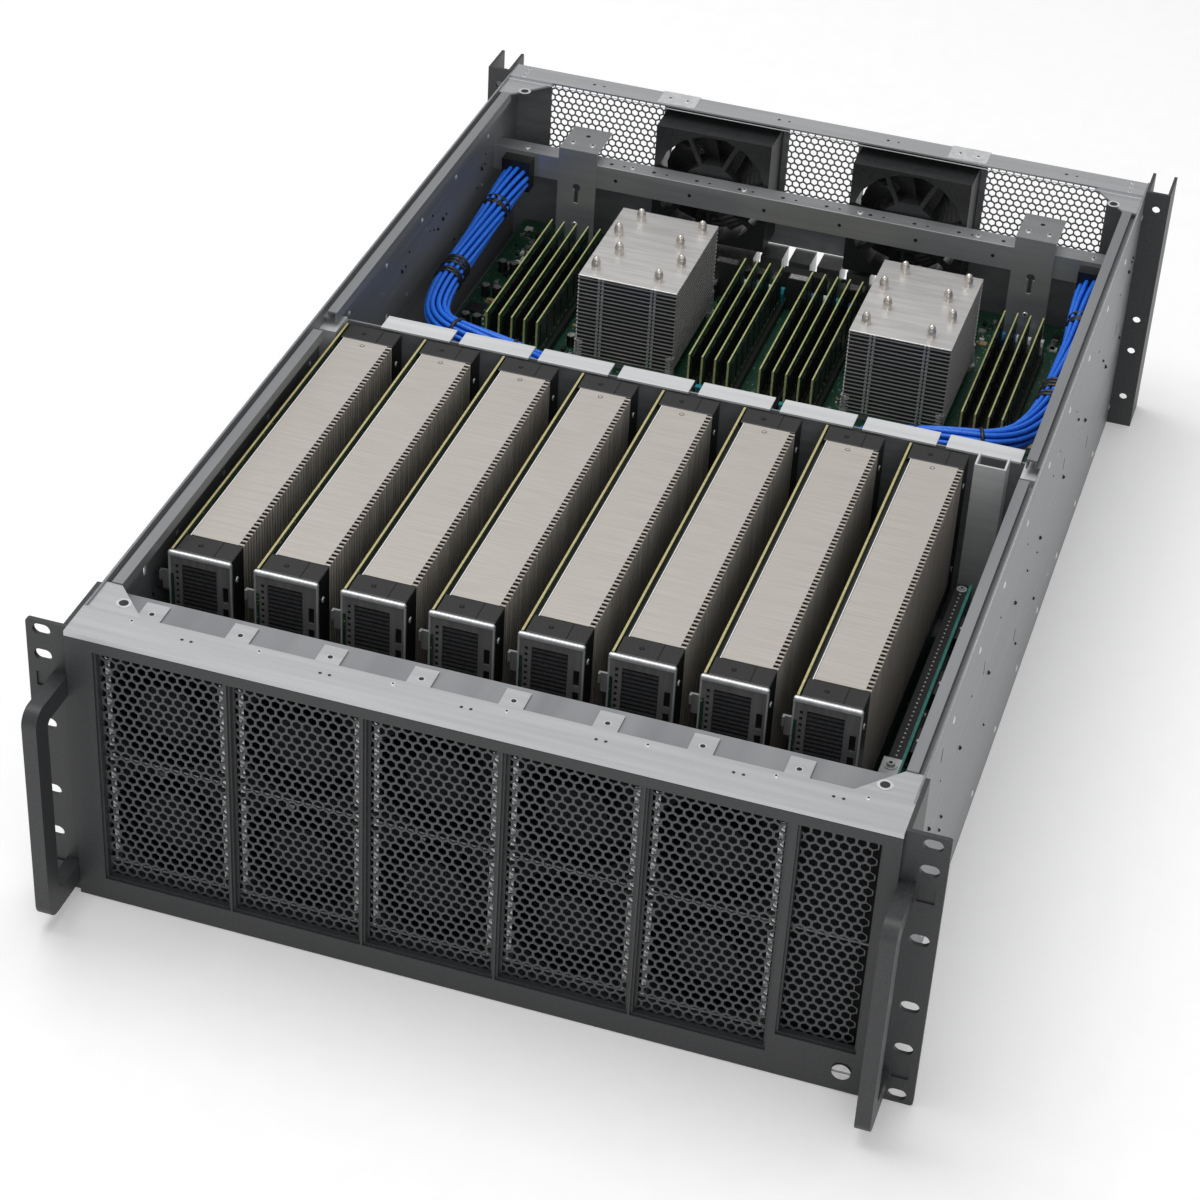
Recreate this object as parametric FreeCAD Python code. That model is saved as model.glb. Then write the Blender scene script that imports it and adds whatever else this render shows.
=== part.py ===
import FreeCAD, Part
import math
import os

# A four-unit rack server for eight accelerator cards, with its lid off.
# X runs along the front, Y runs from the front to the rear and Z points up.
# Depths, called d below, count backwards from the face of the bezel.

# Rack standard and case
panel_width = 482.6
rack_unit = 44.45
unit_count = 4
unit_gap = 1.8
ear_reach = 22.8
case_depth = 700.0
sheet = 1.2
seat = 0.3
tolerance = 0.01

# Levels inside the case
deck_underside = 43.0
card_board_top = 50.4
main_board_top = 63.0
board_thickness = 1.6

# Bezel and its windows
bezel_depth = 5.0
bezel_post = 16.5
window_gap = 3.5
window_bottom = 16.0
window_margin = 11.0
window_count = 5
side_window_gap = 6.5
side_window_width = 40.0
side_window_bottom = 29.0
bezel_end = 10.0
frame_step = 1.2
frame_step_depth = 1.5
frame_lift = 0.5
mesh_margin = 1.0
mesh_overlap = 3.0
mesh_thickness = 1.0
mesh_columns = 3
mesh_web = 2.4
lock_radius = 5.0
lock_length = 12.0
lock_proud = 1.0
lock_slot = 1.6
lock_cam_width = 6.0
lock_cam_reach = 9.0

# Front fans, two rows behind the windows
fan_depth = 38.0
fan_front = 8.0
fan_top_gap = 9.0
fan_floor_gap = 23.4
fan_rows = 2
fan_wall = 2.0
duct_sides = 16
hole_sides = 8
hub_sides = 10
strut_width = 3.0
strut_depth = 3.0
front_strut_count = 4
rear_strut_count = 7
blade_thickness = 1.4
front_blade_count = 5
front_blade_angles = (46.0, 46.0)
rear_blade_count = 7
rear_blade_angles = (58.0, 34.0)
blade_chord_share = 0.72
blade_root = 3.0
tip_gap = 1.6
hub_share = 0.5
hub_setback = 2.0

# Fan cage and rail over the front fans
cage_depth = 44.0
rail_depth = 24.0
rail_lip = 7.0
rail_front_lip = 3.0
clip_width = 13.0
clip_depth = 22.0
clip_setback = 1.5
clip_shift = 17.5

# Side walls: an outer edge, a groove for the lid and a folded ridge
groove_width = 3.0
groove_depth = 4.8
ridge_width = 6.0
ridge_lip = 2.0
ridge_drop = 0.5
ridge_break_front = 35.0
ridge_break_rear = 13.0
gusset_reach = 24.0
gusset_width = 30.0
gusset_slope = 8.0
gusset_under = 12.0
gusset_corner = 9.0
floor_lip = 8.0
wall_slot_length = 3.0
wall_slot_height = 9.0
wall_slot_depths = (0.13, 0.30, 0.47, 0.64, 0.81, 0.91)
wall_slot_heights = (0.85, 0.68, 0.34, 0.60, 0.28, 0.54)

# Rack ears, rear posts and handles
ear_setback = 3.0
ear_thickness = 2.5
ear_flange = 42.0
ear_round = 2.0
rack_hole_inset = 8.75
rack_hole_radius = 3.5
rack_slot_length = 10.0
first_rack_hole = 6.35
rack_hole_step = 15.875
ear_mark = 9.0
ear_mark_depth = 1.0
flange_hole_radius = 2.2
flange_hole_setback = 12.0
flange_hole_heights = (0.17, 0.5, 0.83)
post_width = 16.0
post_depth = 28.0
post_wall = 2.0
post_rise = 1.0
post_setback = 15.0
post_hole_radius = 2.6
post_hole_heights = (22.0, 58.0, 82.0, 165.0)
handle_bar = 8.2
handle_leg = 12.5
handle_reach = 38.0
handle_bottom = 8.0
handle_top = 146.0
handle_round = 9.0
handle_inner_round = 4.0

# Accelerator cards
card_count = 8
card_room_left = 12.1
card_room_right = 42.2
card_length = 252.0
card_front = 100.0
card_height = 111.15
card_lift = 3.5
card_slot_cover = 8.0
package_gap = 3.6
package_size = 52.0
package_rise = 6.0
sink_width = 30.0
sink_bottom_gap = 18.0
sink_groove_count = 6
sink_groove_width = 12.0
sink_groove_depth = 5.0
sink_skirt = 36.0
sink_top_wall = 1.5
cap_length = 16.0
cap_gap = 0.6
cap_wall = 4.0
cap_inner_wall = 6.0
cap_outer_wall = 3.0
bracket_strip = 9.0
bracket_lift = 6.0
bracket_sill = 16.0
bracket_top_edge = 4.0
bracket_slot_low = 4.0
bracket_slot_high = 12.0
bracket_proud = 0.4
slot_length = 89.0
slot_width = 7.5
slot_height = 11.2
slot_setback = 50.0
slot_end_wall = 2.0
card_board_inset = 16.5
card_board_front_gap = 25.0
card_board_rear_gap = 27.0

# Upright board and rail beside the last card
riser_gap = 26.8
riser_front = 130.0
riser_rear = 318.0
riser_top = 101.0
rail_bar_width = 7.4
rail_bar_height = 8.0
rail_bar_front = 148.0
rail_bar_drop = 1.0

# Partition behind the cards
partition_front = 357.0
partition_top = 164.0
partition_window_low = 76.0
partition_window_high = 150.0
partition_window_inset = 6.0
partition_window_side = 2.0
plate_gap = 5.8
plate_depth = 14.0
plate_overhang = 2.0
plate_end_gap = 12.0
stand_top = 172.0
stand_width = 18.0
stand_gap = 36.3
stand_setback = 24.0
stand_depth = 15.0
wall_block_width = 10.5
wall_block_depth = 19.0
wall_block_bottom = 118.0
wall_block_top = 166.0

# Main board
main_board_inset = 12.5
main_board_front_gap = 43.0
main_board_rear_gap = 10.0
standoff_radius = 3.4
standoff_inset = 12.0

# Memory: the middle of each bank, as a share of the board's width, and its modules
bank_shares = (-0.370, -0.047, 0.077, 0.385)
bank_counts = (5, 4, 5, 4)
module_pitch = 8.6
module_length = 133.35
module_height = 31.25
module_thickness = 2.4
module_board = 1.2
module_setback = 147.0
module_chip_low = 8.0
module_chip_high = 4.0
module_chip_end = 6.0
socket_length = 142.0
socket_width = 6.5
socket_height = 6.0
socket_floor = 3.2
latch_thickness = 4.0
latch_notch = 4.5
latch_notch_floor = 1.5
latch_inset = 0.3
latch_stem = 3.0
latch_height = 15.0
latch_lift = 2.3

# Processor coolers
cooler_shares = (-0.195, 0.240)
cooler_width = 66.0
cooler_length = 96.0
cooler_setback = 84.0
cooler_base_inset = 4.0
cooler_base_end = 6.0
cooler_base_height = 7.0
cooler_stack_height = 60.0
cooler_fin_count = 7
cooler_fin_gap = 4.4
cooler_core = 30.0
pipe_radius = 3.0
pipe_tip_radius = 1.2
pipe_sides = 6
pipe_proud = 8.5
pipe_rows = 4
pipe_inset = 12.0
pipe_stagger = 4.0

# Beam across the case and its brackets
beam_setback = 49.0
beam_depth = 13.8
beam_height = 17.0
beam_rear_lip = 11.0
beam_top = 137.0
bracket_width = 27.0
bracket_gap = 60.3
bracket_top = 146.0
bracket_reach = 34.0
keyhole_radius = 3.0
keyhole_height = 118.0
keyhole_slot = 2.8
keyhole_drop = 12.0

# Rear fans, wall and rail
rear_fan_size = 80.0
rear_fan_depth = 32.0
rear_fan_centres = (-68.0, 68.0)
rear_fan_bottom = 87.0
rear_fan_clearance = 3.0
rear_rail_depth = 18.0
vent_side = 24.0
vent_pitch = 18.0
vent_web = 3.0
vent_bottom = 104.0
vent_top = 166.0

# Ports along the rear edge of the main board: place, width, height and hollow depth
port_row_start = -104.0
port_gap = 5.0
port_depth = 20.0
port_wall = 1.6
port_back = 3.0
port_clearance = 1.0
port_names = ("serial", "screen", "stacked_bus", "stacked_bus", "network", "network", "management")
port_widths = (31.0, 31.0, 15.0, 15.0, 16.0, 16.0, 16.0)
port_height = 14.0
screen_port_height = 11.0

# Plugs and other parts on the main board: places as shares of the free room in front of the coolers
power_plug_x = 87.0
power_plug_width = 24.0
power_plug_length = 22.0
power_plug_height = 16.0
power_plug_share = 0.42
drive_plugs_x = (-29.0, 30.0)
drive_plugs_width = (22.0, 40.0)
drive_plug_length = 25.0
drive_plug_height = 10.0
drive_plug_share = 0.28
coil_row_width = 60.0
coil_row_depth = 10.0
coil_row_height = 12.0
coil_row_setback = 19.0
stack_plug_x = 5.0
stack_plug_width = 30.0
stack_plug_depth = 8.0
stack_plug_height = 20.0
chip_sink_width = 40.0
chip_sink_share = 0.34
chip_sink_height = 14.0
chip_sink_base = 4.0
chip_sink_edge = 5.0
chip_fin_count = 7

# Power supplies
supply_count = 4
supply_pitch = 82.0
supply_width = 73.5
supply_height = 40.0
supply_length = 265.0
supply_clearance = 0.9
supply_inlet_edge = 4.0
supply_inlet_width = 24.0
supply_inlet_height = 16.5
supply_inlet_depth = 18.0
supply_fan_radius = 15.0
supply_fan_recess = 5.0
supply_fan_edge = 5.0
supply_handle_edge = 3.0
supply_handle_reach = 28.0
supply_handle_bar = 4.0
supply_handle_width = 12.0
supply_handle_span = 40.0
supply_handle_bevel = 5.0
supply_latch_thickness = 2.0
supply_latch_width = 10.0
supply_latch_reach = 20.0
supply_latch_edge = 1.5
supply_latch_lift = 1.0
supply_latch_hook = 5.0
socket_reach = 8.0
socket_half_width = 16.0
socket_lift = 8.0
socket_tall = 10.0
power_board_drop = 4.0

# Cable bundles along the side walls
bundle_diameter = 17.0
bundle_sides = 8
bundle_wall_gap = 17.3
bundle_clip_height = 120.0
bundle_clip_depth = 10.0
bundle_clip_inset = 2.0
bend_share = 0.45
bundle_clip_width = 20.0
bundle_clip_rise = 14.0
bundle_clip_drop = 8.0

# Worked out from the sizes above
case_width = panel_width - 2 * ear_reach
half_case = case_width / 2
half_panel = panel_width / 2
inside = half_case - sheet
case_height = unit_count * rack_unit - unit_gap
front_reach = handle_reach - ear_setback
rear_reach = case_depth + supply_handle_reach
face_y = -(rear_reach - front_reach) / 2
deck_top = deck_underside + sheet
rear_face = case_depth - sheet
window_top = case_height - window_margin
window_run = case_width - bezel_post - side_window_gap - side_window_width - bezel_end
window_width = (window_run - (window_count - 1) * window_gap) / window_count
window_pitch = window_width + window_gap
first_window_centre = -half_case + bezel_post + window_width / 2
cage_top = case_height - fan_top_gap
fan_row_pitch = (cage_top - fan_floor_gap) / fan_rows
fan_bottom = fan_floor_gap + seat
fan_width = window_width
fan_height = fan_row_pitch - sheet - 2 * seat
fan_duct = min(fan_width, fan_height) / 2 - fan_wall
card_bottom = card_board_top + card_lift
card_top = card_bottom + card_height
card_rear = card_front + card_length
card_width = board_thickness + package_gap + sink_width
card_run = 2 * inside - card_room_left - card_room_right - card_width
card_pitch = card_run / (card_count - 1)
card_first_x = -inside + card_room_left
slot_front = card_front + slot_setback
card_board_width = 2 * (half_case - card_board_inset) - sheet
card_board_front = card_front + card_board_front_gap
card_board_rear = partition_front - card_board_rear_gap
main_board_width = 2 * (half_case - main_board_inset) - sheet
main_board_front = partition_front + main_board_front_gap
main_board_rear = case_depth - main_board_rear_gap
beam_front = case_depth - beam_setback
module_front = beam_front - module_setback
cooler_middle = beam_front - cooler_setback
front_room = cooler_middle - cooler_length / 2 - main_board_front
power_plug_middle = main_board_front + power_plug_share * front_room
bracket_centre = inside - bracket_gap
post_front = case_depth - post_setback
post_height = case_height + post_rise
rack_hole_spacing = panel_width - 2 * rack_hole_inset
stand_left = inside - stand_gap
stand_front = partition_front - stand_setback
bundle_wall_x = inside - bundle_wall_gap
bundle_clip_front = beam_front - bundle_clip_depth
module_bottom = main_board_top + socket_floor
socket_front = module_front - (socket_length - module_length) / 2
stack_bottom = main_board_top + cooler_base_height
stack_top = stack_bottom + cooler_stack_height
rear_fan_middle = rear_fan_bottom + rear_fan_size / 2
rear_fan_duct = rear_fan_size / 2 - fan_wall
supply_bottom = sheet + seat
supply_front = case_depth - supply_length
handle_inner_x = half_case + seat

parts = {}


def vector(x, d, z):
    """Point at x, at depth d behind the bezel's face, and at height z."""
    return FreeCAD.Vector(x, face_y + d, z)


def block(x0, x1, d0, d1, z0, z1):
    """Straight block between two corners."""
    return Part.makeBox(x1 - x0, d1 - d0, z1 - z0, vector(x0, d0, z0))


def rod(radius, length, x, d, z, axis):
    """Round bar that starts at a point and runs along an axis."""
    directions = {"x": (1, 0, 0), "y": (0, 1, 0), "z": (0, 0, 1)}
    return Part.makeCylinder(radius, length, vector(x, d, z), FreeCAD.Vector(*directions[axis]))


def prism(outline, axis, start, end):
    """Bar along an axis. Its outline's pairs are (d, z) for x, (x, z) for y and (x, d) for z."""
    if axis == "x":
        corners = [vector(start, d, z) for d, z in outline]
        run = FreeCAD.Vector(end - start, 0, 0)
    elif axis == "y":
        corners = [vector(x, start, z) for x, z in outline]
        run = FreeCAD.Vector(0, end - start, 0)
    else:
        corners = [vector(x, d, start) for x, d in outline]
        run = FreeCAD.Vector(0, 0, end - start)
    return Part.Face(Part.makePolygon(corners + corners[:1])).extrude(run)


def polygon(radius, sides, turn=0.0):
    """Corner offsets of a regular polygon; radius reaches its corners."""
    angles = [turn + 2 * math.pi * k / sides for k in range(sides)]
    return [(radius * math.cos(a), radius * math.sin(a)) for a in angles]


def fused(shapes):
    """One solid from shapes that meet."""
    return shapes[0].fuse(shapes[1:]).removeSplitter()


def mirrored(shape):
    """The same piece on the other side of the case."""
    return shape.mirror(FreeCAD.Vector(0, 0, 0), FreeCAD.Vector(1, 0, 0))


def obround(x, z, length, radius, d0, d1):
    """Slot cutter that runs along X and goes through from d0 to d1."""
    half = length / 2 - radius
    return fused([
        block(x - half, x + half, d0, d1, z - radius, z + radius),
        rod(radius, d1 - d0, x - half, d0, z, "y"),
        rod(radius, d1 - d0, x + half, d0, z, "y"),
    ])


def hexagons(x0, x1, z0, z1, columns, web):
    """Outlines of a honeycomb that fills a window, as full cells in staggered columns."""
    pitch = (x1 - x0 - web) / (columns * 0.75 + 0.25) * 0.75
    corner = pitch / 0.75 / 2 - web / 2
    rise = (corner + web / 2) * math.sqrt(3)
    outlines = []
    for column in range(columns):
        middle_x = x0 + web / 2 + pitch / 1.5 + column * pitch
        shift = rise / 2 if column % 2 else 0.0
        rows = int((z1 - z0 - web - shift) // rise)
        for row in range(rows):
            middle_z = z0 + web / 2 + shift + rise * (row + 0.5)
            outlines.append([(middle_x + u, middle_z + v) for u, v in polygon(corner, 6)])
    return outlines


def chassis_floor():
    """Floor sheet with a folded lip at the front, between the side walls."""
    plate = block(-inside, inside, bezel_depth, rear_face, 0, sheet)
    front = block(-inside, inside, bezel_depth, bezel_depth + sheet, 0, floor_lip)
    return fused([plate, front])


def side_wall_right():
    """Side sheet whose top edge folds into a lid groove and a ridge."""
    groove_floor = case_height - groove_depth
    ridge_top = case_height - ridge_drop
    ridge_out = inside - groove_width
    ridge_in = ridge_out - ridge_width
    outline = [
        (half_case, 0), (half_case, case_height), (inside, case_height),
        (inside, groove_floor), (ridge_out, groove_floor), (ridge_out, ridge_top),
        (ridge_in, ridge_top), (ridge_in, groove_floor - ridge_lip),
        (ridge_in + sheet, groove_floor - ridge_lip), (ridge_in + sheet, ridge_top - sheet),
        (ridge_out - sheet, ridge_top - sheet), (ridge_out - sheet, groove_floor - sheet),
        (inside, groove_floor - sheet), (inside, 0),
    ]
    wall = prism(outline, "y", bezel_depth, case_depth)
    below_ridge = groove_floor - ridge_lip
    front_end = rail_depth + gusset_reach
    rear_end = rear_face - rear_rail_depth - gusset_reach - seat
    cuts = [
        block(ridge_in, inside, 0, front_end + seat, below_ridge, case_height),
        block(ridge_in, inside, rear_end, case_depth, below_ridge, case_height),
        block(ridge_in, half_case, 0, rail_depth + seat, case_height - rail_lip, case_height),
        block(ridge_in, inside, partition_front - ridge_break_front, partition_front - ridge_break_rear,
              below_ridge, case_height),
    ]
    for depth_share, height_share in zip(wall_slot_depths, wall_slot_heights):
        depth = depth_share * case_depth
        height = height_share * case_height
        cuts.append(block(inside, half_case, depth, depth + wall_slot_length,
                          height, height + wall_slot_height))
    return wall.cut(cuts)


def corner_gusset(d_rail, direction):
    """Flat corner plate under a rail's end; direction is 1 behind the front rail."""
    top = case_height - sheet
    outline = [
        (inside, d_rail - direction * gusset_under),
        (inside - gusset_width - gusset_slope, d_rail - direction * gusset_under),
        (inside - gusset_width, d_rail + direction * sheet),
        (inside - gusset_corner, d_rail + direction * gusset_reach),
        (inside, d_rail + direction * gusset_reach),
    ]
    return prism(outline, "z", top - sheet, top)


def top_rails():
    """Folded sheet rails across the front and the rear edge of the open top."""
    top = case_height
    lip = rail_lip
    front_lip = top - rail_front_lip
    front = prism([
        (0, top), (0, front_lip), (sheet, front_lip), (sheet, top - sheet),
        (rail_depth - sheet, top - sheet), (rail_depth - sheet, top - lip),
        (rail_depth, top - lip), (rail_depth, top),
    ], "x", -half_case, half_case)
    gusset_room = gusset_width + gusset_slope + 4 * sheet
    front = front.cut([
        block(side * inside - gusset_room, side * inside + gusset_room, rail_depth - sheet, rail_depth,
              top - lip, top - sheet) for side in (-1, 1)])
    start = rear_face - rear_rail_depth
    rear = block(-inside, inside, start, rear_face, top - sheet, top)
    return [front, rear]


def bezel_windows():
    """Centre, width, bottom and top of each bezel window, from left to right."""
    windows = []
    for k in range(window_count):
        centre = first_window_centre + k * window_pitch
        windows.append((centre, window_width, window_bottom, window_top))
    side_left = windows[-1][0] + window_width / 2 + side_window_gap
    windows.append((side_left + side_window_width / 2, side_window_width, side_window_bottom, window_top))
    return windows


def lock_place():
    """Middle of the lock, under the side window."""
    centre, width, bottom, _ = bezel_windows()[-1]
    return centre + width / 2 - lock_radius, bottom / 2


def bezel_frame():
    """Front frame with six windows, a stepped edge around each, and the lock's hole."""
    top = case_height - rail_front_lip - seat
    frame = block(-half_case, half_case, 0, bezel_depth, frame_lift, top)
    cuts = []
    for centre, width, low, high in bezel_windows():
        left = centre - width / 2
        right = centre + width / 2
        cuts.append(block(left, right, 0, bezel_depth, low, high))
        cuts.append(block(left - frame_step, right + frame_step, 0, frame_step_depth,
                          low - frame_step, high + frame_step))
    lock_x, lock_z = lock_place()
    cuts.append(rod(lock_radius + seat, bezel_depth, lock_x, 0, lock_z, "y"))
    return frame.cut(cuts)


def bezel_mesh():
    """Honeycomb sheet behind the frame, one field of cells for each window."""
    margin = mesh_margin
    back = bezel_depth + mesh_thickness
    sheet_panel = block(-half_case + bezel_post - mesh_overlap, half_case - bezel_end + mesh_overlap,
                        bezel_depth, back, window_bottom - mesh_overlap, window_top + mesh_overlap)
    centre, width, low, _ = bezel_windows()[-1]
    cuts = [block(centre - width / 2 - mesh_overlap, half_case, bezel_depth, back,
                  0, low - mesh_overlap)]
    for centre, width, low, high in bezel_windows():
        columns = mesh_columns if width == window_width else mesh_columns - 1
        cells = hexagons(centre - width / 2 + margin, centre + width / 2 - margin,
                         low + margin, high - margin, columns, mesh_web)
        for outline in cells:
            cuts.append(prism(outline, "y", bezel_depth, back))
    return sheet_panel.cut(cuts)


def bezel_lock():
    """Quarter-turn lock: a slotted barrel with a cam behind the frame."""
    lock_x, lock_z = lock_place()
    half = lock_cam_width / 2
    end = lock_length - lock_proud
    barrel = rod(lock_radius, lock_length, lock_x, -lock_proud, lock_z, "y")
    cam = block(lock_x - half, lock_x + half, end - 2 * sheet, end - sheet / 2,
                lock_z - lock_cam_reach, lock_z)
    groove = block(lock_x - lock_radius, lock_x + lock_radius, -lock_proud, lock_proud / 2,
                   lock_z - lock_slot / 2, lock_z + lock_slot / 2)
    return fused([barrel, cam]).cut(groove)


def rack_holes():
    """Heights of the ear's slots, on the rack's own pattern of three holes in each unit."""
    chosen = ((0, 0), (0, 2), (1, 1), (2, 1), (3, 1), (3, 2))
    return [rack_hole_height(unit, hole) for unit, hole in chosen]


def rack_hole_height(unit, hole):
    """Height of one of the three holes in a rack unit."""
    return first_rack_hole - unit_gap / 2 + unit * rack_unit + hole * rack_hole_step


def ear_right():
    """Bent rack ear: a slotted face and a flange screwed to the side wall."""
    front = ear_setback
    back = front + ear_thickness
    outline = [
        (half_case, front), (half_panel, front), (half_panel, back),
        (half_case + ear_thickness, back), (half_case + ear_thickness, front + ear_flange),
        (half_case, front + ear_flange),
    ]
    ear = prism(outline, "z", 0, case_height)
    ear = ear.makeFillet(ear_round, [edge for edge in ear.Edges if outer_ear_edge(edge)])
    cuts = [obround(rack_hole_spacing / 2, height, rack_slot_length, rack_hole_radius, front, back)
            for height in rack_holes()]
    half = ear_mark / 2
    middle = rack_hole_spacing / 2
    for height in (rack_hole_height(0, 1), rack_hole_height(3, 0)):
        cuts.append(block(middle - half, middle + half, front, front + ear_mark_depth,
                          height - half, height + half))
    for share in flange_hole_heights:
        depth = front + ear_flange - flange_hole_setback
        height = share * case_height
        hole = [(depth + u, height + v) for u, v in polygon(flange_hole_radius, hole_sides)]
        cuts.append(prism(hole, "x", half_case, half_case + ear_thickness))
    return ear.cut(cuts)


def outer_ear_edge(edge):
    """Whether an edge is one of the two outer corners of the ear's face."""
    box = edge.BoundBox
    flat = box.ZLength < tolerance and box.XLength < tolerance
    return flat and abs(box.XMin - half_panel) < tolerance


def handle_right():
    """Square-bar pull handle: a rounded bow in front of the ear."""
    tip = ear_setback - handle_reach
    root = ear_setback
    bow = prism([(tip, handle_bottom), (root, handle_bottom), (root, handle_top), (tip, handle_top)],
                "x", handle_inner_x, handle_inner_x + handle_bar)
    corners = [edge for edge in bow.Edges if edge.BoundBox.XLength > handle_bar / 2
               and abs(edge.BoundBox.YMin - (face_y + tip)) < tolerance]
    bow = bow.makeFillet(handle_round, corners)
    gap = prism([(tip + handle_leg, handle_bottom + handle_leg), (root, handle_bottom + handle_leg),
                 (root, handle_top - handle_leg), (tip + handle_leg, handle_top - handle_leg)],
                "x", handle_inner_x, handle_inner_x + handle_bar)
    inner = [edge for edge in gap.Edges if edge.BoundBox.XLength > handle_bar / 2
             and abs(edge.BoundBox.YMin - (face_y + tip + handle_leg)) < tolerance]
    return bow.cut(gap.makeFillet(handle_inner_round, inner))


def rear_post_right():
    """Folded channel up the rear corner, open to the rear, with mounting holes."""
    start = half_case
    end = half_case + post_width
    back = post_front + post_depth
    outline = [
        (start, post_front), (end, post_front), (end, back), (end - post_wall, back),
        (end - post_wall, post_front + post_wall), (start + post_wall, post_front + post_wall),
        (start + post_wall, back), (start, back),
    ]
    post = prism(outline, "z", 0, post_height)
    middle = (start + end) / 2
    holes = [rod(post_hole_radius, post_wall, middle, post_front, height, "y")
             for height in post_hole_heights]
    return post.cut(holes)


def mid_deck():
    """Shelf between the power supplies below and the boards above, with board standoffs."""
    plate = block(-inside, inside, fan_front + cage_depth, rear_face, deck_underside, deck_top)
    pieces = [plate]
    boards = [(card_board_width, card_board_front, card_board_rear, card_board_top),
              (main_board_width, main_board_front, main_board_rear, main_board_top)]
    for width, front, back, top in boards:
        half = width / 2 - standoff_inset
        for x in (-half, 0.0, half):
            for d in (front + standoff_inset, back - standoff_inset):
                outline = [(x + u, d + v) for u, v in polygon(standoff_radius, 6)]
                pieces.append(prism(outline, "z", deck_top, top - board_thickness))
    return fused(pieces)


def fan_columns():
    """Middle of each column of front fans."""
    return [first_window_centre + k * window_pitch for k in range(window_count)]


def fan_cage():
    """Shelves and dividers that hold the front fans."""
    back = fan_front + cage_depth
    pieces = []
    for row in range(fan_rows + 1):
        low = fan_bottom - seat - sheet + row * fan_row_pitch
        pieces.append(block(-inside, inside, fan_front, back, low, low + sheet))
    for k in range(window_count + 1):
        middle = first_window_centre - window_pitch / 2 + k * window_pitch
        low = sheet if k in (0, window_count) else fan_bottom - seat
        pieces.append(block(middle - sheet / 2, middle + sheet / 2, fan_front, back, low, cage_top))
    return fused(pieces)


def fan_frame(x, z, width, height, duct, front, depth, strut_count, strut_front):
    """Fan housing with a round duct, a motor plate and flat struts out to the duct."""
    hub = duct * hub_share
    back = front + depth
    shell = block(x - width / 2, x + width / 2, front, back, z - height / 2, z + height / 2)
    reach = duct / math.cos(math.pi / duct_sides)
    hole = [(x + u, z + v) for u, v in polygon(reach, duct_sides, math.pi / duct_sides)]
    shell = shell.cut(prism(hole, "y", front, back))
    plate = prism([(x + u, z + v) for u, v in polygon(hub, hub_sides)], "y",
                  strut_front, strut_front + strut_depth)
    struts = []
    for k in range(strut_count):
        bar = block(x - strut_width / 2, x + strut_width / 2, strut_front, strut_front + strut_depth,
                    z + hub / 2, z + reach)
        angle = 360.0 * (k + 0.5) / strut_count
        bar.rotate(vector(x, back, z), FreeCAD.Vector(0, 1, 0), angle)
        struts.append(bar)
    return fused([shell, plate] + struts)


def blade_outline(x, start, chord, angles):
    """Section of a fan blade: two runs of equal length, each turned from the fan's axis."""
    stations = [(x, start)]
    for angle in angles:
        last_x, last_d = stations[-1]
        turn = math.radians(angle)
        stations.append((last_x + chord / 2 * math.sin(turn), last_d + chord / 2 * math.cos(turn)))
    shift = (stations[-1][0] - x) / 2
    upper = [(px - shift, d) for px, d in stations]
    lower = [(px - blade_thickness, d) for px, d in reversed(upper)]
    return upper + lower


def rotor(x, z, duct, start, end, blade_count, angles):
    """Fan wheel: a hub whose slanted blades clear the duct and the motor plate."""
    hub = duct * hub_share
    core = prism([(x + u, z + v) for u, v in polygon(hub, hub_sides)], "y", start, end)
    length = blade_chord_share * (end - start)
    rise = sum(math.cos(math.radians(angle)) for angle in angles) / 2
    sweep = sum(math.sin(math.radians(angle)) for angle in angles) / 2
    chord = length / rise
    half_sweep = chord * sweep / 2 + blade_thickness
    reach = math.sqrt((duct - tip_gap) ** 2 - half_sweep ** 2)
    outline = blade_outline(x, (start + end - length) / 2, chord, angles)
    pieces = [core]
    for k in range(blade_count):
        blade = prism(outline, "z", z + hub - blade_root, z + reach)
        blade.rotate(vector(x, start, z), FreeCAD.Vector(0, 1, 0), 360.0 * k / blade_count)
        pieces.append(blade)
    return fused(pieces)


def front_fan_places():
    """Middle of each front fan: the lower row from left to right, then the upper row."""
    places = []
    for row in range(fan_rows):
        height = fan_bottom + fan_height / 2 + row * fan_row_pitch
        places += [(x, height) for x in fan_columns()]
    return places


def card_places():
    """Left face of each card's board."""
    return [card_first_x + k * card_pitch for k in range(card_count)]


def card_board(x):
    """Card's circuit board with its edge tongue and the processor package."""
    tongue = card_slot_cover
    outline = [
        (card_front, card_bottom + tongue), (slot_front + slot_end_wall, card_bottom + tongue),
        (slot_front + slot_end_wall, card_bottom), (slot_front + slot_length - slot_end_wall, card_bottom),
        (slot_front + slot_length - slot_end_wall, card_bottom + tongue), (card_rear, card_bottom + tongue),
        (card_rear, card_top), (card_front, card_top),
    ]
    board = prism(outline, "x", x, x + board_thickness)
    middle_d = 0.5 * (card_front + card_rear)
    middle_z = 0.5 * (card_bottom + card_top) + package_rise
    half = package_size / 2
    package = block(x + board_thickness, x + board_thickness + package_gap, middle_d - half,
                    middle_d + half, middle_z - half, middle_z + half)
    return fused([board, package])


def card_sink(x):
    """Finned heat sink: a core with deep fins along its open side and a plain skirt below."""
    left = x + board_thickness + package_gap
    right = left + sink_width
    front = card_front + cap_length
    back = card_rear - cap_length
    low = card_bottom + sink_bottom_gap
    body = block(left, right, front, back, low, card_top)
    pitch = (back - front) / sink_groove_count
    cuts = []
    for k in range(sink_groove_count):
        start = front + (k + 0.5) * pitch - sink_groove_width / 2
        cuts.append(block(right - sink_groove_depth, right, start, start + sink_groove_width,
                          low + sink_skirt, card_top - sink_top_wall))
    return body.cut(cuts)


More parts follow.
